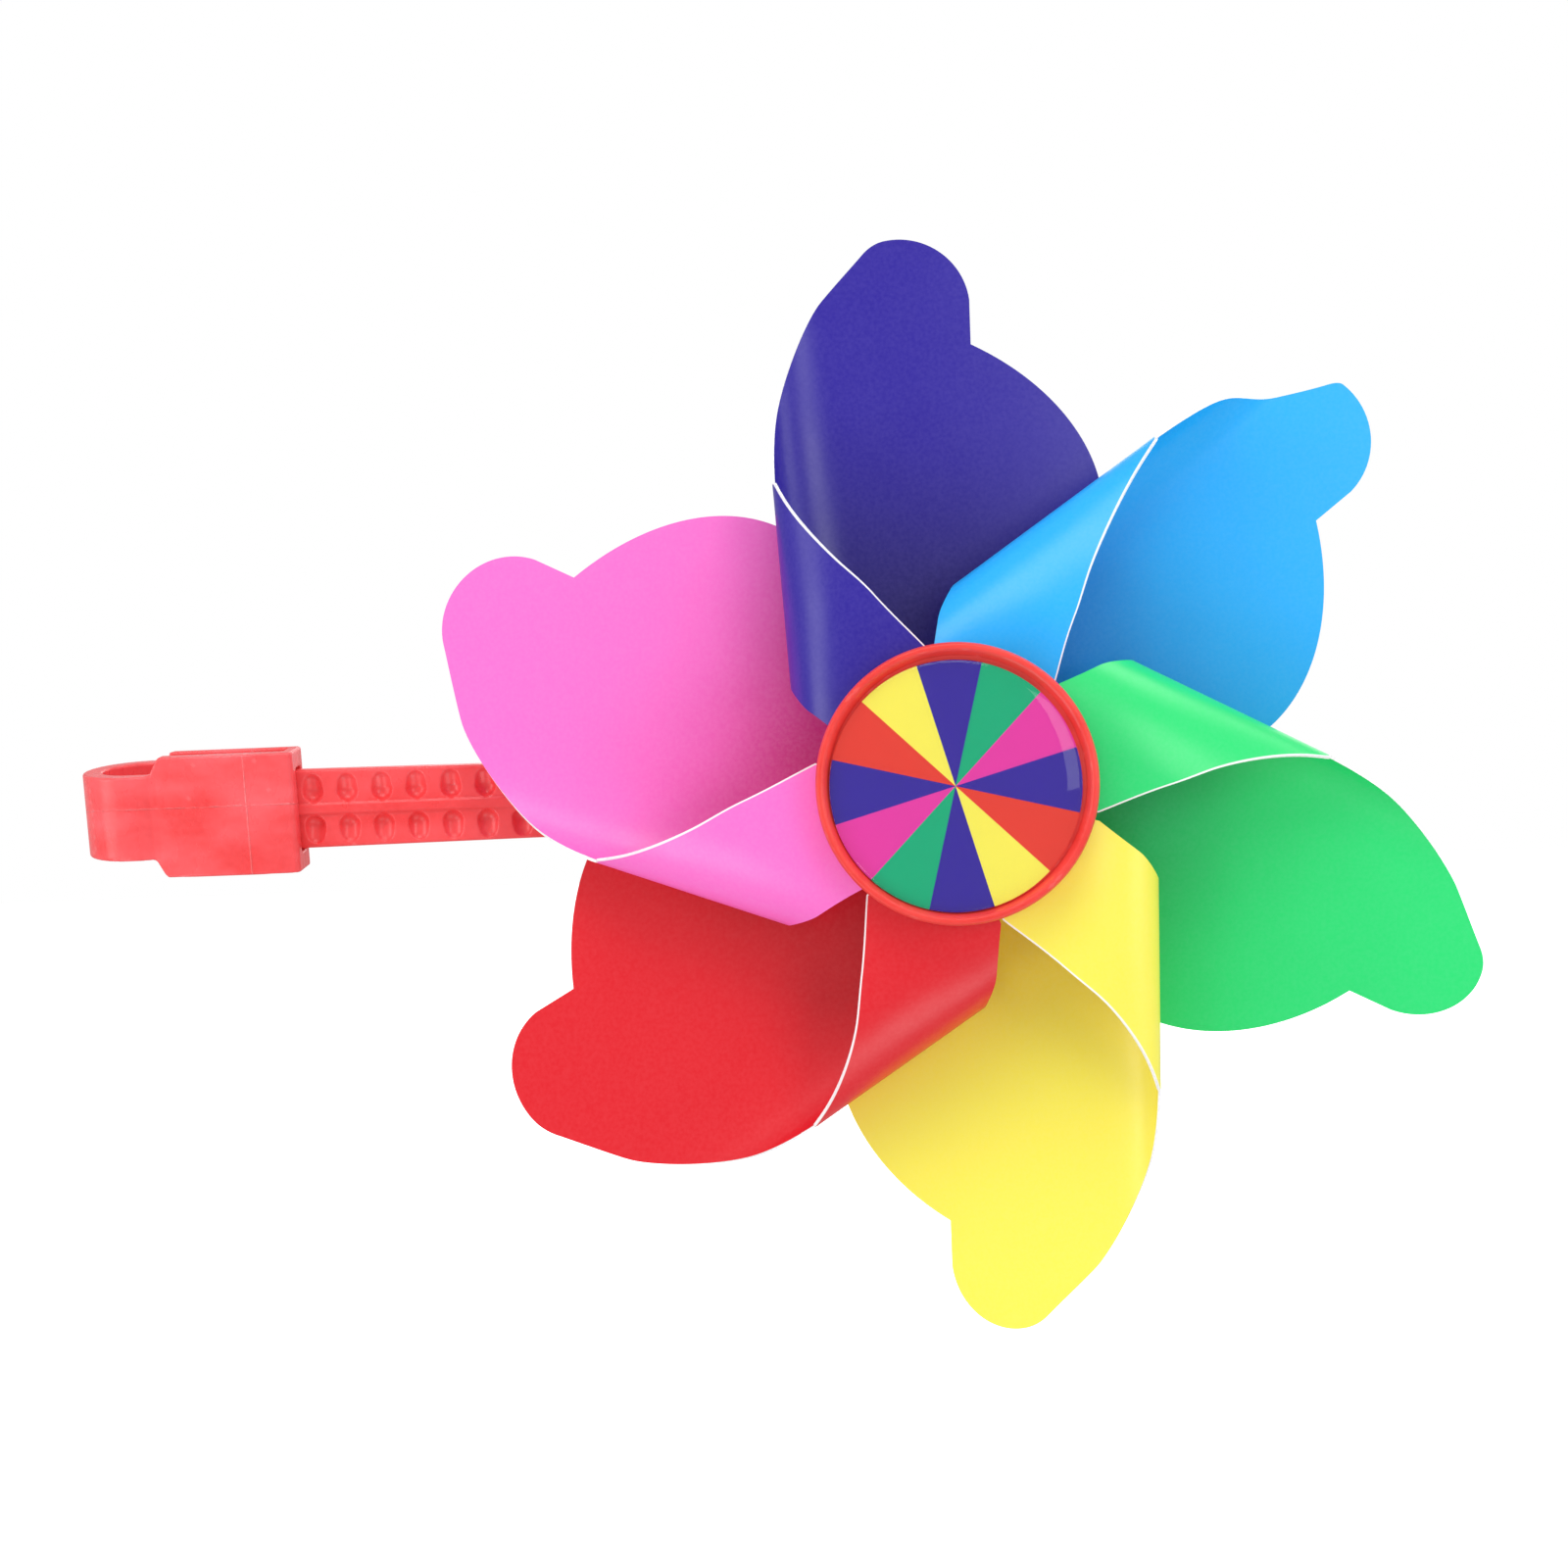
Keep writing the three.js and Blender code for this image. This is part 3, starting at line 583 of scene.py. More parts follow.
def curve_through(points, steps):
    """Points along a uniform Catmull-Rom curve, without its first point."""
    points = np.array(points)
    padded = np.concatenate([points[:1], points, points[-1:]])
    made = []
    for i in range(len(points) - 1):
        a, b, c, d = padded[i : i + 4]
        for t in np.arange(1, steps + 1) / steps:
            first, last = (c - a) / 2, (d - b) / 2
            cubic = (2 * b - 2 * c + first + last) * t**3
            made.append(cubic + (-3 * b + 3 * c - 2 * first - last) * t**2 + first * t + b)
    return made


def divided(start, end, length):
    """Points along a straight line about length apart, without its first point."""
    start, end = np.array(start), np.array(end)
    steps = max(1, round(float(np.linalg.norm(end - start)) / length))
    return [start + (end - start) * i / steps for i in range(1, steps + 1)]


def on_lobe(degrees):
    angle, tilt = math.radians(degrees), math.radians(LOBE["tilt"])
    a, b = LOBE["long"] * math.cos(angle), LOBE["short"] * math.sin(angle)
    across = LOBE["across"] + a * math.cos(tilt) - b * math.sin(tilt)
    return (across, LOBE["along"] + a * math.sin(tilt) + b * math.cos(tilt))


def on_ear(degrees):
    angle = math.radians(degrees)
    return (EAR["across"] + EAR["radius"] * math.cos(angle), EAR["along"] + EAR["radius"] * math.sin(angle))


def rear_tab(radius, side):
    angle = math.radians(REAR_TAB_HALF_ANGLE)
    return (side * radius * math.sin(angle), radius * math.cos(angle))


def front_tab(radius, degrees):
    angle = math.radians(degrees)
    return (AXIS_ACROSS - radius * math.sin(angle), radius * math.cos(angle))


PEG_HOLES = {
    "rear": (0.0, float(PEG["ring"])),
    "front": front_tab(PEG["ring"], (FRONT_TAB["upper"] + FRONT_TAB["lower"]) / 2),
}


def circle(centre, radius, count):
    angles = 2 * np.pi * np.arange(count) / count
    return [(centre[0] + radius * math.cos(a), centre[1] + radius * math.sin(a)) for a in angles]


def blade_outline(length=0.9):
    """The pattern's outline as closely spaced points."""
    points = [np.array(rear_tab(TAB_INNER, -1))]
    points += divided(points[-1], rear_tab(TAB_LENGTH, -1), length)
    start, control, end = points[-1], np.array((-13, 20.5)), np.array(on_lobe(LOBE["start"]))
    for t in np.arange(1, 17) / 16:
        points.append(start * (1 - t) ** 2 + control * 2 * t * (1 - t) + end * t * t)
    points += [np.array(on_lobe(a)) for a in np.linspace(LOBE["start"], LOBE["notch"], 90)[1:]]
    points += divided(points[-1], on_ear(180), length)
    points += [np.array(on_ear(a)) for a in np.linspace(180, EAR["end"], 32)[1:]]
    upper, lower, reach = FRONT_TAB["upper"], FRONT_TAB["lower"], FRONT_TAB["reach"]
    flap = [(18.6, 84.2), (30.9, 74.4), (CREST_ACROSS, 62.5), (41.1, 59.2), (53.2, 38)]
    points += curve_through([points[-1], *flap, front_tab(reach, upper)], 16)
    points += divided(points[-1], front_tab(TAB_INNER, upper), length)
    points += divided(points[-1], front_tab(TAB_INNER, (upper + lower) / 2), length)
    points += divided(points[-1], front_tab(TAB_INNER, lower), length)
    points += divided(points[-1], front_tab(reach, lower), length)
    under = [points[-1], (45.6, 15.6), (CREST_ACROSS, 22.5), (24, 21), rear_tab(TAB_LENGTH, 1)]
    points += curve_through(under, 16)
    points += divided(points[-1], rear_tab(TAB_INNER, 1), length)
    points += divided(points[-1], rear_tab(TAB_INNER, -1), length)[:-1]
    return np.array(points)


def edge_distance(points, loop):
    """How far each point is from a closed loop, and whether it is inside it."""
    start, end = loop, np.roll(loop, -1, axis=0)
    nearest = np.full(len(points), np.inf)
    inside = np.zeros(len(points), bool)
    for a, b in zip(start, end):
        line = b - a
        share = np.clip(((points - a) @ line) / max(line @ line, 1e-12), 0, 1)
        nearest = np.minimum(nearest, np.linalg.norm(points - a - share[:, None] * line, axis=1))
        if a[1] != b[1]:
            level = (a[1] > points[:, 1]) != (b[1] > points[:, 1])
            crossing = a[0] + (points[:, 1] - a[1]) * line[0] / line[1]
            inside ^= level & (points[:, 0] < crossing)
    return nearest, inside


def blade_pattern(across_step=1.25, along_step=1.8):
    """The flat pattern as triangles: its points, its faces and each point's distance from the outline."""
    outline = blade_outline()
    holes = PEG_HOLES.values()
    loops = [outline] + [np.array(circle(hole, PEG["hole"], 32)) for hole in holes]
    low, high = outline.min(axis=0), outline.max(axis=0)
    rows = []
    for i, across in enumerate(np.arange(low[0], high[0], across_step)):
        alongs = np.arange(low[1] + (i % 2) * along_step / 2, high[1], along_step)
        rows.append(np.stack([np.full(len(alongs), across), alongs], axis=1))
    inner = np.concatenate(rows)
    clear, inside = edge_distance(inner, outline)
    inner = inner[inside & (clear > MARGIN + 0.9)]
    way = np.roll(outline, -1, axis=0) - np.roll(outline, 1, axis=0)
    way /= np.linalg.norm(way, axis=1)[:, None]
    for side in (-1, 1):
        beside = outline + side * MARGIN * np.stack([-way[:, 1], way[:, 0]], axis=1)
        clear, inside = edge_distance(beside, outline)
        inner = np.concatenate([inner, beside[inside & (clear > MARGIN * 0.6)]])
    for hole in holes:
        inner = inner[np.linalg.norm(inner - np.array(hole), axis=1) > PEG["hole"] + 0.5]
    points = np.concatenate(loops + [inner])
    edges, first = [], 0
    for loop in loops:
        count = len(loop)
        edges += [(first + i, first + (i + 1) % count) for i in range(count)]
        first += count
    made = delaunay_2d_cdt([Vector(p) for p in points], edges, [], 2, 1e-5)
    flat = np.array([tuple(p) for p in made[0]])
    faces = np.array(made[2])
    centre = flat[faces].mean(axis=1)
    for hole in holes:
        clear = np.linalg.norm(centre - np.array(hole), axis=1) > PEG["hole"] * 0.98
        faces, centre = faces[clear], centre[clear]
    return flat, faces.tolist(), edge_distance(flat, outline)[0]


PATTERN_POINTS, PATTERN_FACES, PATTERN_EDGE = blade_pattern()


def border_of(faces):
    """Directed edges that only one face has."""
    edges = {(a, b) for face in faces for a, b in zip(face, face[1:] + face[:1])}
    return [(a, b) for a, b in edges if (b, a) not in edges]


PATTERN_BORDER = border_of(PATTERN_FACES)


def blade_mesh(name, kind, material):
    """The sheet's two printed faces and the white core round its cut edges."""
    across, along = PATTERN_POINTS.T
    nudge = 0.05
    middle = blade_points(kind, across, along)
    across_way = blade_points(kind, across + nudge, along) - blade_points(kind, across - nudge, along)
    along_way = blade_points(kind, across, along + nudge) - blade_points(kind, across, along - nudge)
    normal = np.cross(across_way, along_way)
    normal /= np.linalg.norm(normal, axis=1)[:, None]
    count = len(middle)
    points = np.concatenate([middle + normal * SHEET / 2, middle - normal * SHEET / 2])
    faces = [list(face) for face in PATTERN_FACES]
    faces += [[i + count for i in reversed(face)] for face in PATTERN_FACES]
    faces += [[b, a, a + count, b + count] for a, b in PATTERN_BORDER]
    mesh = mesh_of(name, points, faces, [material, white_core])
    sides = len(PATTERN_BORDER)
    mesh.polygons.foreach_set("material_index", [0] * (len(faces) - sides) + [1] * sides)
    margin = mesh.attributes.new("margin", "FLOAT", "POINT")
    outer = (across > CREST_ACROSS - 1) & (along > FLAP_LINE - FLAP_SLOPE * across)
    flap_edge = (PATTERN_EDGE < 0.01) & outer
    margin.data.foreach_set("value", np.tile(flap_edge, 2).astype(np.float32))
    # painted shade: 'opened' is low on the lobe toward the hub, where the colour is painted darker
    opened = mesh.attributes.new("opened", "FLOAT", "POINT")
    clear = np.maximum(smoothstep(along, *HUB_SHADE_FADE), smoothstep(across, CREST_ACROSS - 8, CREST_ACROSS + 4))
    opened.data.foreach_set("value", np.tile(clear, 2).astype(np.float32))
    facing_out(mesh)
    mesh.set_sharp_from_angle(angle=math.radians(50))
    return mesh


for hue, kind in BLADES.items():
    film = sheet_plastic(f"{hue}_sheet", *[colour(*tone) for tone in SHEET_TONES[hue]])
    add_piece(f"{hue}_blade", blade_mesh(f"{hue}_blade", kind, film), [f"blade_{hue}"])


# ---------------------------------------------------------------- hub
HUB_CELL = 0.4
PEG_REACH = {"rear_hub": 4.2, "front_hub": 2.9}
POCKET_BORE, POCKET_WALL, POCKET_DEPTH, RIB_HALF = 6.6, 1.6, 0.9, 0.6
PLATE_BORE, BUSH_BORE, AXLE_BORE = 6.2, 3.3, 1.6


def peg_places(tab):
    """Side and height of the peg in each blade's front or rear tab."""
    pegs = [blade_points(kind, *np.array(PEG_HOLES[tab])) for kind in BLADES.values()]
    return [(peg[0], peg[2]) for peg in pegs]


def pegged_disc(name, node, places, ribs):
    """A disc with a peg for each blade; the rear one has a ribbed pocket in its back."""
    size = Extent(node)
    disc_front = size.front - PEG_REACH[node]

    def field(x, y, z):
        depth, radius = -y, np.hypot(x, z)
        body = within(radius - size.radius, span(depth, size.rear, disc_front), rounding=0.5)
        for px, pz in places:
            pin = within(np.hypot(x - px, z - pz) - PEG["radius"], span(depth, size.rear + 1, size.front))
            body = join(body, pin, 0.3)
        if ribs:
            ring = span(radius, POCKET_BORE, size.radius - POCKET_WALL)
            pocket = within(ring, span(depth, size.rear - 1, size.rear + POCKET_DEPTH))
            for px, pz in places:
                way = math.atan2(pz, px)
                off = np.abs(x * math.sin(way) - z * math.cos(way))
                ahead = x * math.cos(way) + z * math.sin(way) > 0
                pocket = cut(pocket, np.where(ahead, off - RIB_HALF, 5), 0.5)
            body = cut(body, pocket, 0.4)
        return cut(body, radius - BUSH_BORE, 0.3)

    add_traced(name, node, field, HUB_CELL, red_plastic)


def clamp_plate(name, node, places):
    size = Extent(node)

    def field(x, y, z):
        radius = np.hypot(x, z)
        body = within(span(radius, PLATE_BORE, size.radius), span(-y, size.rear, size.front), rounding=0.4)
        for px, pz in places:
            body = cut(body, np.hypot(x - px, z - pz) - PEG["hole"], 0.3)
        return body

    add_traced(name, node, field, HUB_CELL, red_plastic)


rear_pegs, front_pegs = peg_places("rear"), peg_places("front")
pegged_disc("rear_hub_disc", "rear_hub", rear_pegs, True)
pegged_disc("front_hub_disc", "front_hub", front_pegs, False)
clamp_plate("rear_clamp", "rear_blade_clamp", rear_pegs)
clamp_plate("front_clamp", "front_blade_clamp", front_pegs)


def tube_profile(size, inner, rounding):
    return [
        (inner, size.rear, rounding),
        (size.radius, size.rear, rounding),
        (size.radius, size.front, rounding),
        (inner, size.front, rounding),
    ]


TUBES = {
    "hub_sleeve": ("spacer_sleeve", 3.6, 0.3, red_plastic, "red_plastic"),
    "rear_washer": ("rear_thrust_washer", AXLE_BORE, 0.12, nylon, "nylon"),
    "front_washer": ("front_thrust_washer", AXLE_BORE, 0.12, nylon, "nylon"),
    "axle_push_nut": ("push_nut", AXLE_BORE, 0.2, steel, "steel"),
}
for node, (name, inner, rounding, material, slot) in TUBES.items():
    add_piece(name, turned(name, tube_profile(Extent(node), inner, rounding), material), [node])


def flanged_bush(node, name, flange_behind):
    """A plain bush; its flange is on the outer side of its disc."""
    size = Extent(node)
    near, far = (size.rear, size.front) if flange_behind else (size.front, size.rear)
    step = near + (0.5 if flange_behind else -0.5)
    body = BUSH_BORE - 0.1
    profile = [
        (AXLE_BORE, near, 0.1),
        (size.radius, near, 0.1),
        (size.radius, step, 0.1),
        (body, step, 0.1),
        (body, far, 0.15),
        (AXLE_BORE, far, 0.15),
    ]
    add_piece(name, turned(name, profile, nylon), [node])


flanged_bush("rear_bush", "rear_plain_bush", True)
flanged_bush("front_bush", "front_plain_bush", False)


def axle():
    size = Extent("axle_pin")
    shank, head = 1.5, 1.2
    profile = [
        (0, size.rear, 0),
        (size.radius, size.rear, 0.35),
        (size.radius, size.rear + head, 0.15),
        (shank, size.rear + head, 0.1),
        (shank, size.front, 0.35),
        (0, size.front, 0),
    ]
    add_piece("axle", turned("axle", profile, steel, sides=64), ["axle_pin"])


def screw(node, name):
    """A pan-head screw with a driver recess, seen from the bar side."""
    size = Extent(node)
    shank, head = 1.1, 1.2
    profile = [
        (0, size.rear + 0.7, 0),
        (0.7, size.rear + 0.7, 0.05),
        (0.9, size.rear, 0.05),
        (size.radius, size.rear, 0.45),
        (size.radius, size.rear + head, 0.1),
        (shank, size.rear + head, 0.1),
        (shank, size.front - 1.2, 0.1),
        (0, size.front, 0),
    ]
    add_piece(name, turned(name, profile, steel, size.x, size.z, 48), [node])


axle()
screw("base_screw_upper", "upper_screw")
screw("base_screw_lower", "lower_screw")

# ---------------------------------------------------------------- cap, label and dome
CAP_WALL = 1.5
RIM_WALL = 1.4
SECTOR_START = 15.8  # angle of the first sector's lower border
SECTORS = ["magenta", "green", "indigo", "yellow", "orange", "indigo"] * 2
INK_TONES = {
    "indigo": (54, 36, 158),
    "green": (8, 176, 124),
    "magenta": (232, 58, 168),
    "orange": (232, 62, 48),
    "yellow": (250, 240, 92),
}


def cap():
    size = Extent("front_cap")
    floor = Extent("cap_label").rear - 0.1
    inner = size.radius - RIM_WALL
    profile = [
        (0, floor, 0),
        (inner - 0.65, floor, 0.3),
        (inner, size.front - 0.45, 0.2),
        (inner + 0.35, size.front, 0.35),
        (size.radius - 0.3, size.front, 0.6),
        (size.radius, size.front - 0.9, 0.5),
        (size.radius, size.rear, 0.3),
        (size.radius - 3.8, size.rear, 0.4),
        (size.radius - 4.4, floor - CAP_WALL, 0.4),
        (0, floor - CAP_WALL, 0),
    ]
    add_piece("cap", turned("cap", profile, red_plastic, sides=256), ["front_cap"])


def label():
    """A printed disc of twelve sectors that meet at its middle."""
    size = Extent("cap_label")
    inks = [printed_ink(f"ink_{hue}", colour(*tone)) for hue, tone in INK_TONES.items()]
    steps, rings = 14, 8
    points, faces, tones = [], [], []
    for layer, depth in enumerate((size.front, size.rear)):
        base = len(points)
        points.append((size.x, -depth, size.z))
        count = len(SECTORS) * steps
        for ring in range(1, rings + 1):
            radius = size.radius * ring / rings
            for i in range(count):
                angle = math.radians(SECTOR_START + 360 * i / count)
                points.append((size.x + radius * math.cos(angle), -depth, size.z + radius * math.sin(angle)))
        for ring in range(rings):
            inner, outer = base + 1 + (ring - 1) * count, base + 1 + ring * count
            for i in range(count):
                j = (i + 1) % count
                face = [inner + i, outer + i, outer + j, inner + j]
                if ring == 0:
                    face = [outer + i, outer + j, base]
                faces.append(face[::-1] if layer == 0 else face)
                tones.append(i // steps)
    edge = 1 + (rings - 1) * count
    below = edge + 1 + rings * count
    for i in range(count):
        j = (i + 1) % count
        faces.append([edge + i, edge + j, below + j, below + i])
        tones.append(i // steps)
    mesh = mesh_of("label", points, faces, inks, smooth=False)
    hues = list(INK_TONES)
    mesh.polygons.foreach_set("material_index", [hues.index(SECTORS[tone]) for tone in tones])
    facing_out(mesh)
    add_piece("label", mesh, ["cap_label"])


def dome():
    """Clear resin that stands up from the label's edge in a rounded meniscus."""
    size = Extent("cap_dome")
    steps = 28
    profile = [(0, size.rear, 0), (size.radius - 0.05, size.rear, 0.03)]
    height = size.front - size.rear
    for i in range(steps + 1):
        share = math.cos(math.pi / 2 * i / steps)
        rise = height * (1 - share**2) ** 0.5 * 0.45 + height * 0.55 * (1 - share**5)
        profile.append((size.radius * share, size.rear + 0.08 + (height - 0.08) * rise / height, 0))
    profile[-1] = (0, size.front, 0)
    mesh = turned("resin_dome", profile, clear_resin(), size.x, size.z, 192)
    add_piece("resin_dome", mesh, ["cap_dome"])


cap()
label()
dome()

# ---------------------------------------------------------------- strap
STRAP = {
    "depth": 7.15, "half": 1.3, "root": 6.2, "tip": 7.3, "tilt": 9.5, "tilt_from": -30, "tilt_to": -82,
    "eye": 7.2, "eye_hole": 4.4, "ridge": 0.45, "ridge_half": 0.9,
    "pitch": 6.3, "first": -128.6, "columns": 16,
}
WELL = {"radius": 2.0, "near": (3.1, 0.62), "far": (4.7, 1.1)}  # its axis' ends: up, above the face


def leaned(y, z, turn):
    """Out and up from the strap's middle line, in the direction that it leans."""
    ahead = -y - STRAP["depth"]
    return ahead * np.cos(turn) - z * np.sin(turn), ahead * np.sin(turn) + z * np.cos(turn)


def strap_field(x, y, z):
    size = Extent("strap")
    tip = size.low[0]
    turn = math.radians(STRAP["tilt"]) * (1 - smoothstep(x, STRAP["tilt_to"], STRAP["tilt_from"]))
    out, up = leaned(y, z, turn)
    half_height = STRAP["root"] + (STRAP["tip"] - STRAP["root"]) * x / tip
    half = STRAP["half"]
    body = within(span(x, tip, -5), np.abs(out) - half, np.abs(up) - half_height, rounding=0.55)
    crown = half + STRAP["ridge"]
    ridge = within(span(x, tip + 1, -8), span(out, 0, crown), np.abs(up) - STRAP["ridge_half"])
    body = join(body, ridge, 0.6)
    body = join(body, within(np.hypot(x, z) - STRAP["eye"], np.abs(out) - half), 0.3)
    body = cut(body, np.hypot(x, z) - STRAP["eye_hole"], 0.3)
    column = np.clip(np.round((x - STRAP["first"]) / STRAP["pitch"]), 0, STRAP["columns"] - 1)
    off = x - STRAP["first"] - column * STRAP["pitch"]
    near, far = np.array(WELL["near"]), np.array(WELL["far"])
    line = far - near
    rise, above = np.abs(up) - near[0], out - half - near[1]
    share = np.clip((rise * line[0] + above * line[1]) / (line @ line), 0, 1)
    well = np.sqrt(off**2 + (rise - share * line[0]) ** 2 + (above - share * line[1]) ** 2) - WELL["radius"]
    return cut(body, well, 0.22)


add_traced("strap_band", "strap", strap_field, 0.3, soft_red)

# ---------------------------------------------------------------- buckle
BUCKLE = {
    "left": -145.2, "right": -118.6, "half_height": 10.95, "rear": 3.6, "front": 11.7, "bulge": 0.7,
    "slot_rear": 5.6, "slot_front": 9.05, "end_wall": 2.2, "ring_x": -149.1, "ring_depth": 2.2,
    "ring_outer": 10.5, "ring_inner": 7, "ring_half": 7.65, "window": 7.6,
}


def buckle_field(x, y, z):
    b = BUCKLE
    out, up = leaned(y, z, np.full_like(x, math.radians(STRAP["tilt"])))
    depth = out + STRAP["depth"]
    middle, half_width = (b["left"] + b["right"]) / 2, (b["right"] - b["left"]) / 2
    bulge = b["bulge"] * (1 - ((x - middle) / half_width) ** 2)
    front_share = smoothstep(depth, 7, 9)
    plan = within(
        span(x, b["left"], b["right"]), span(depth - bulge * front_share, b["rear"], b["front"]), rounding=1.0
    )
    shoulder = (b["half_height"] - b["ring_half"]) * (1 - smoothstep(x, b["left"], b["left"] + 2.6))
    tall = b["half_height"] - shoulder * front_share
    block = within(plan, np.abs(up) - tall, rounding=0.35)
    across = np.hypot(x - b["ring_x"], depth - b["ring_depth"])
    loop = within(across - b["ring_outer"], np.abs(up) - b["ring_half"], rounding=0.45)
    body = join(block, loop, 0.7)
    body = cut(body, across - b["ring_inner"], 0.5)
    between = span(depth, b["slot_rear"], b["slot_front"])
    slot = within(span(x, b["ring_x"], b["right"] - b["end_wall"]), between, rounding=0.6)
    body = cut(body, slot, 0.5)
    end = span(x, b["right"] - 4, b["right"] + 3)
    return cut(body, within(end, between, np.abs(up) - b["window"], rounding=0.5), 0.4)


add_traced("ring_buckle", "strap_buckle", buckle_field, 0.35, buckle_red)

# ---------------------------------------------------------------- base
BASE_CORNER = 7
SPLIT = {"strap_rear": 5.55, "strap_front": 9.2, "strap_half": 6.9, "room": 7.5}
BOSS = {"radius": 6.5, "rise": 1.6}
CATCH = {
    "slot": 5.6, "post": 6, "arm": 3.6, "bottom": -7.5, "top": 9.5,
    "rear": 5, "arm_rear": 7.5, "front": 11.4,
}
SCREWS = [(13.6, 9), (-13.6, -9)]
SCREW_HOLE, SCREW_HEAD_HOLE, SCREW_HEAD_DEPTH = 1.4, 2.5, 3.5
AXLE_HEAD_HOLE, AXLE_HEAD_REAR = 3.2, 3.8
GROOVE, GROOVE_DEPTH = (6.2, 8.6), 0.7
RIB_PITCH, GAP_HALF, GAP_DEPTH = 1.6, 0.28, 0.3
RIBS_UP, RIBS_ALONG = 5.2, 15


def base_common(body, x, depth, z):
    """What both shells leave room for: the strap's end and the screws."""
    between = span(depth, SPLIT["strap_rear"], SPLIT["strap_front"])
    tunnel = within(span(x, -40, 0), between, np.abs(z) - SPLIT["strap_half"])
    eye = within(np.hypot(x, z) - SPLIT["room"], between)
    body = cut(cut(body, tunnel, 0.3), eye, 0.3)
    for sx, sz in SCREWS:
        away = np.hypot(x - sx, z - sz)
        body = cut(body, within(away - SCREW_HOLE, span(depth, 0, 11)), 0.2)
        body = cut(body, within(away - SCREW_HEAD_HOLE, span(depth, 0, SCREW_HEAD_DEPTH)), 0.2)
    return body


def rear_shell():
    size = Extent("base_rear_shell")
    wide, tall = size.high[0], size.high[2]

    def field(x, y, z):
        depth = -y
        plan = within(np.abs(x) - wide, np.abs(z) - tall, rounding=BASE_CORNER)
        body = within(plan, span(depth, size.rear, size.front), rounding=0.8)
        body = base_common(body, x, depth, z)
        return cut(body, within(np.hypot(x, z) - AXLE_HEAD_HOLE, span(depth, AXLE_HEAD_REAR, 9)), 0.2)

    add_traced("rear_shell", "base_rear_shell", field, 0.35, red_plastic)


def front_shell():
    size = Extent("base_front_shell")
    wide, tall = -size.low[0], size.high[2]
    face = size.front - BOSS["rise"]
    seam = Extent("base_rear_shell").front + 0.3

    def field(x, y, z):
        depth = -y
        plan = within(np.abs(x) - wide, np.abs(z) - tall, rounding=BASE_CORNER)
        body = within(plan, span(depth, seam, face), rounding=0.8)
        boss = within(np.hypot(x, z) - BOSS["radius"], span(depth, face - 2, size.front), rounding=0.3)
        body = join(body, boss, 1.2)
        post_from = wide + CATCH["slot"]
        arm = within(
            span(x, wide - 3, post_from + CATCH["post"]), span(depth, CATCH["arm_rear"], CATCH["front"]),
            span(z, CATCH["bottom"], CATCH["bottom"] + CATCH["arm"]), rounding=0.6,
        )
        post = within(
            span(x, post_from, post_from + CATCH["post"]), span(depth, CATCH["rear"], CATCH["front"]),
            span(z, CATCH["bottom"], CATCH["top"]), rounding=0.8,
        )
        body = join(join(body, arm, 1.2), post, 1.0)
        body = base_common(body, x, depth, z)
        return cut(body, np.hypot(x, z) - AXLE_BORE, 0.2)

    add_traced("front_shell", "base_front_shell", field, 0.35, red_plastic)


def grip_pad():
    size = Extent("grip_pad")

    def field(x, y, z):
        depth = -y
        plan = within(np.abs(x) - size.high[0], np.abs(z) - size.high[2], rounding=5)
        body = within(plan, span(depth, size.rear, size.front), rounding=0.35)
        up = np.abs(z)
        body = cut(body, within(span(up, *GROOVE), span(depth, -1, GROOVE_DEPTH), rounding=0.25), 0.3)
        gaps = np.abs((up + RIB_PITCH / 2) % RIB_PITCH - RIB_PITCH / 2) - GAP_HALF
        room = span(depth, -1, GAP_DEPTH), span(up, -1, RIBS_UP), np.abs(x) - RIBS_ALONG
        return cut(body, within(gaps, *room, rounding=0.1), 0.15)

    add_traced("bar_pad", "grip_pad", field, 0.25, grip_rubber())


rear_shell()
front_shell()
grip_pad()


# ---------------------------------------------------------------- camera
def place_camera():
    """Looks nearly along +Y at the middle between the wheel and the buckle."""
    target = Vector((-31.5, 0, 1.06)) * MM
    azimuth, roll, distance = math.radians(4.15), math.radians(-2.2), 0.462
    back = Vector((math.sin(azimuth), -math.cos(azimuth), 0))
    right = Vector((math.cos(azimuth), math.sin(azimuth), 0))
    up = Vector((0, 0, 1))
    image_right = right * math.cos(roll) + up * math.sin(roll)
    image_up = up * math.cos(roll) - right * math.sin(roll)
    camera = placed("camera", bpy.data.cameras.new("camera"))
    rotation = Matrix((image_right, image_up, back)).transposed()
    camera.matrix_world = Matrix.Translation(target + back * distance) @ rotation.to_4x4()
    camera.data.sensor_width = 36
    camera.data.lens = 58.5
    camera.data.clip_start = 0.01
    bpy.context.scene.camera = camera


# ---------------------------------------------------------------- light and floor
def softbox(name, azimuth, elevation, width, height, power, distance=1.0):
    """An area light that faces the wheel. Azimuth 0 is in front and 90 is on the right."""
    lamp = bpy.data.lights.new(name, "AREA")
    lamp.shape = "RECTANGLE"
    lamp.size, lamp.size_y = width, height
    lamp.energy = power
    light = placed(name, lamp)
    a, e = math.radians(azimuth), math.radians(elevation)
    way = Vector((math.sin(a) * math.cos(e), -math.cos(a) * math.cos(e), math.sin(e)))
    light.location = way * distance
    light.rotation_euler = (-way).to_track_quat("-Z", "Y").to_euler()


FILL_STRENGTH = 0.55


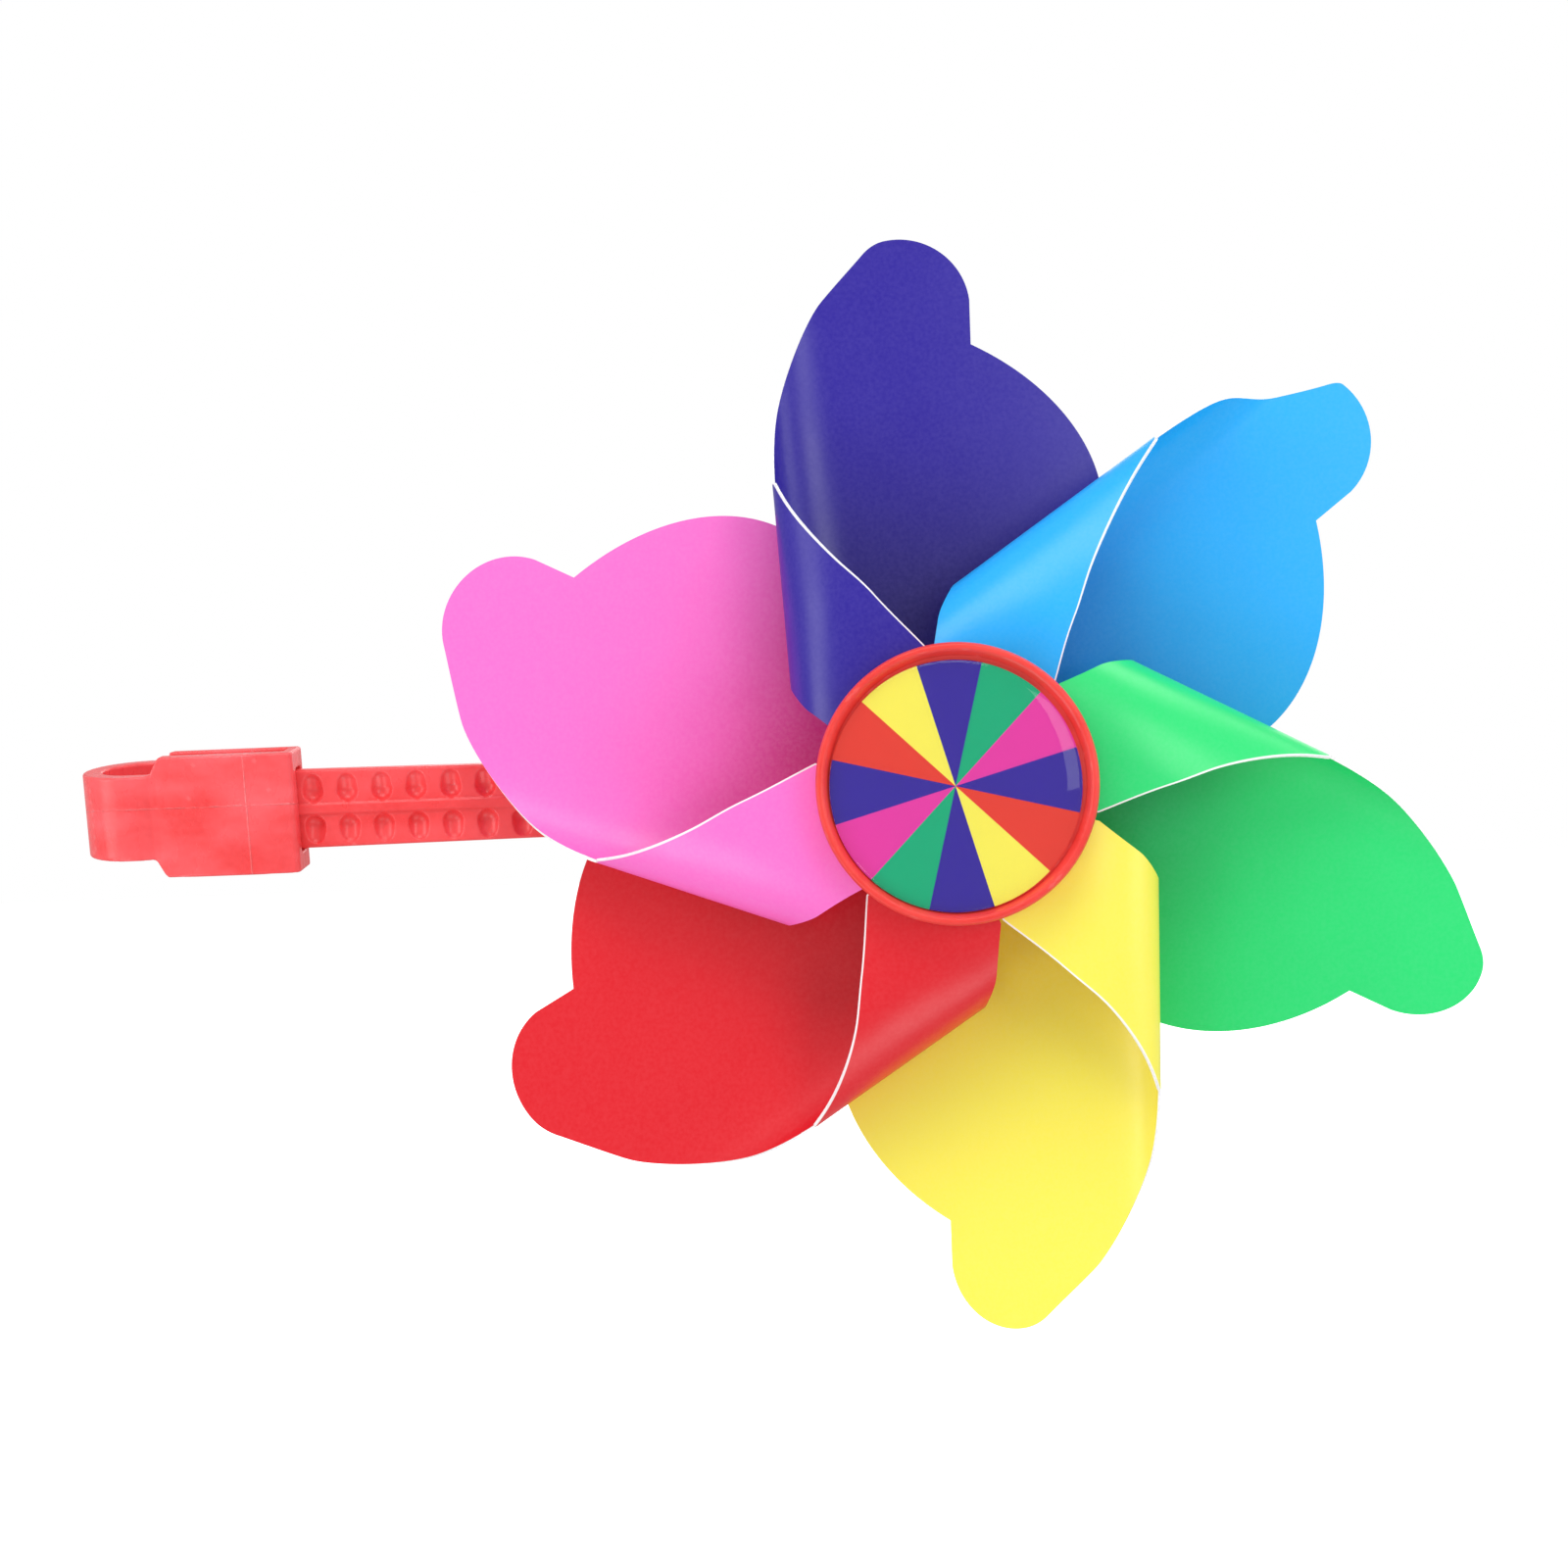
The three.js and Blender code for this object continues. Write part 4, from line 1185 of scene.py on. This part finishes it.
def studio_world():
    """White to the camera, and a soft grey fill for everything else."""
    world = bpy.data.worlds.new("studio")
    bpy.context.scene.world = world
    world.use_nodes = True
    tree = world.node_tree
    tree.nodes.clear()
    path = tree.nodes.new("ShaderNodeLightPath")
    mix = tree.nodes.new("ShaderNodeMixShader")
    output = tree.nodes.new("ShaderNodeOutputWorld")
    for socket, strength in ((1, FILL_STRENGTH), (2, 1)):
        light = tree.nodes.new("ShaderNodeBackground")
        light.inputs["Color"].default_value = (1, 1, 1, 1)
        light.inputs["Strength"].default_value = strength
        tree.links.new(light.outputs[0], mix.inputs[socket])
    tree.links.new(path.outputs["Is Camera Ray"], mix.inputs[0])
    tree.links.new(mix.outputs[0], output.inputs["Surface"])


def floor():
    """A plain pale floor well under the wheel."""
    height = cad_box[0].z - 0.03
    reach = 3
    corners = [(x * reach, y * reach, height) for x, y in ((-1, -1), (1, -1), (1, 1), (-1, 1))]
    mesh = bpy.data.meshes.new("floor")
    mesh.from_pydata(corners, [], [(0, 1, 2, 3)])
    n = Nodes("floor")
    grain = n.spread(n.noise(40, 3), 0, 1)
    base = n.mixed(grain, (0.88, 0.88, 0.88, 1), (0.92, 0.92, 0.92, 1))
    paper = n.principled(
        Base_Color=base, Roughness=0.9, Emission_Color=(1, 1, 1, 1), Emission_Strength=1.1
    )
    mesh.materials.append(paper)
    ground = placed("floor", mesh)
    ground.visible_glossy = False
    ground.visible_diffuse = False
    ground.visible_shadow = False


place_camera()
studio_world()
floor()
LIGHTS = {
    "left_box": (-62, 4, 0.4, 0.7, 2.6),
    "right_box": (74, 4, 0.45, 0.8, 2.0),
    "high_right_box": (80, 58, 0.5, 0.4, 2.0),
    "top_box": (-14, 52, 0.8, 0.4, 3.4),
    "low_box": (30, -55, 0.6, 0.35, 1.6),
    "low_left_box": (-46, -32, 0.4, 0.3, 1.4),
    "strip_box": (31, 12, 0.3, 0.5, 1.6),
    "rear_box": (170, 25, 1.0, 0.8, 3.0),
}  # azimuth, elevation, width, height, power
for name, values in LIGHTS.items():
    softbox(name, *values)

scene = bpy.context.scene
scene.view_settings.view_transform = "Standard"
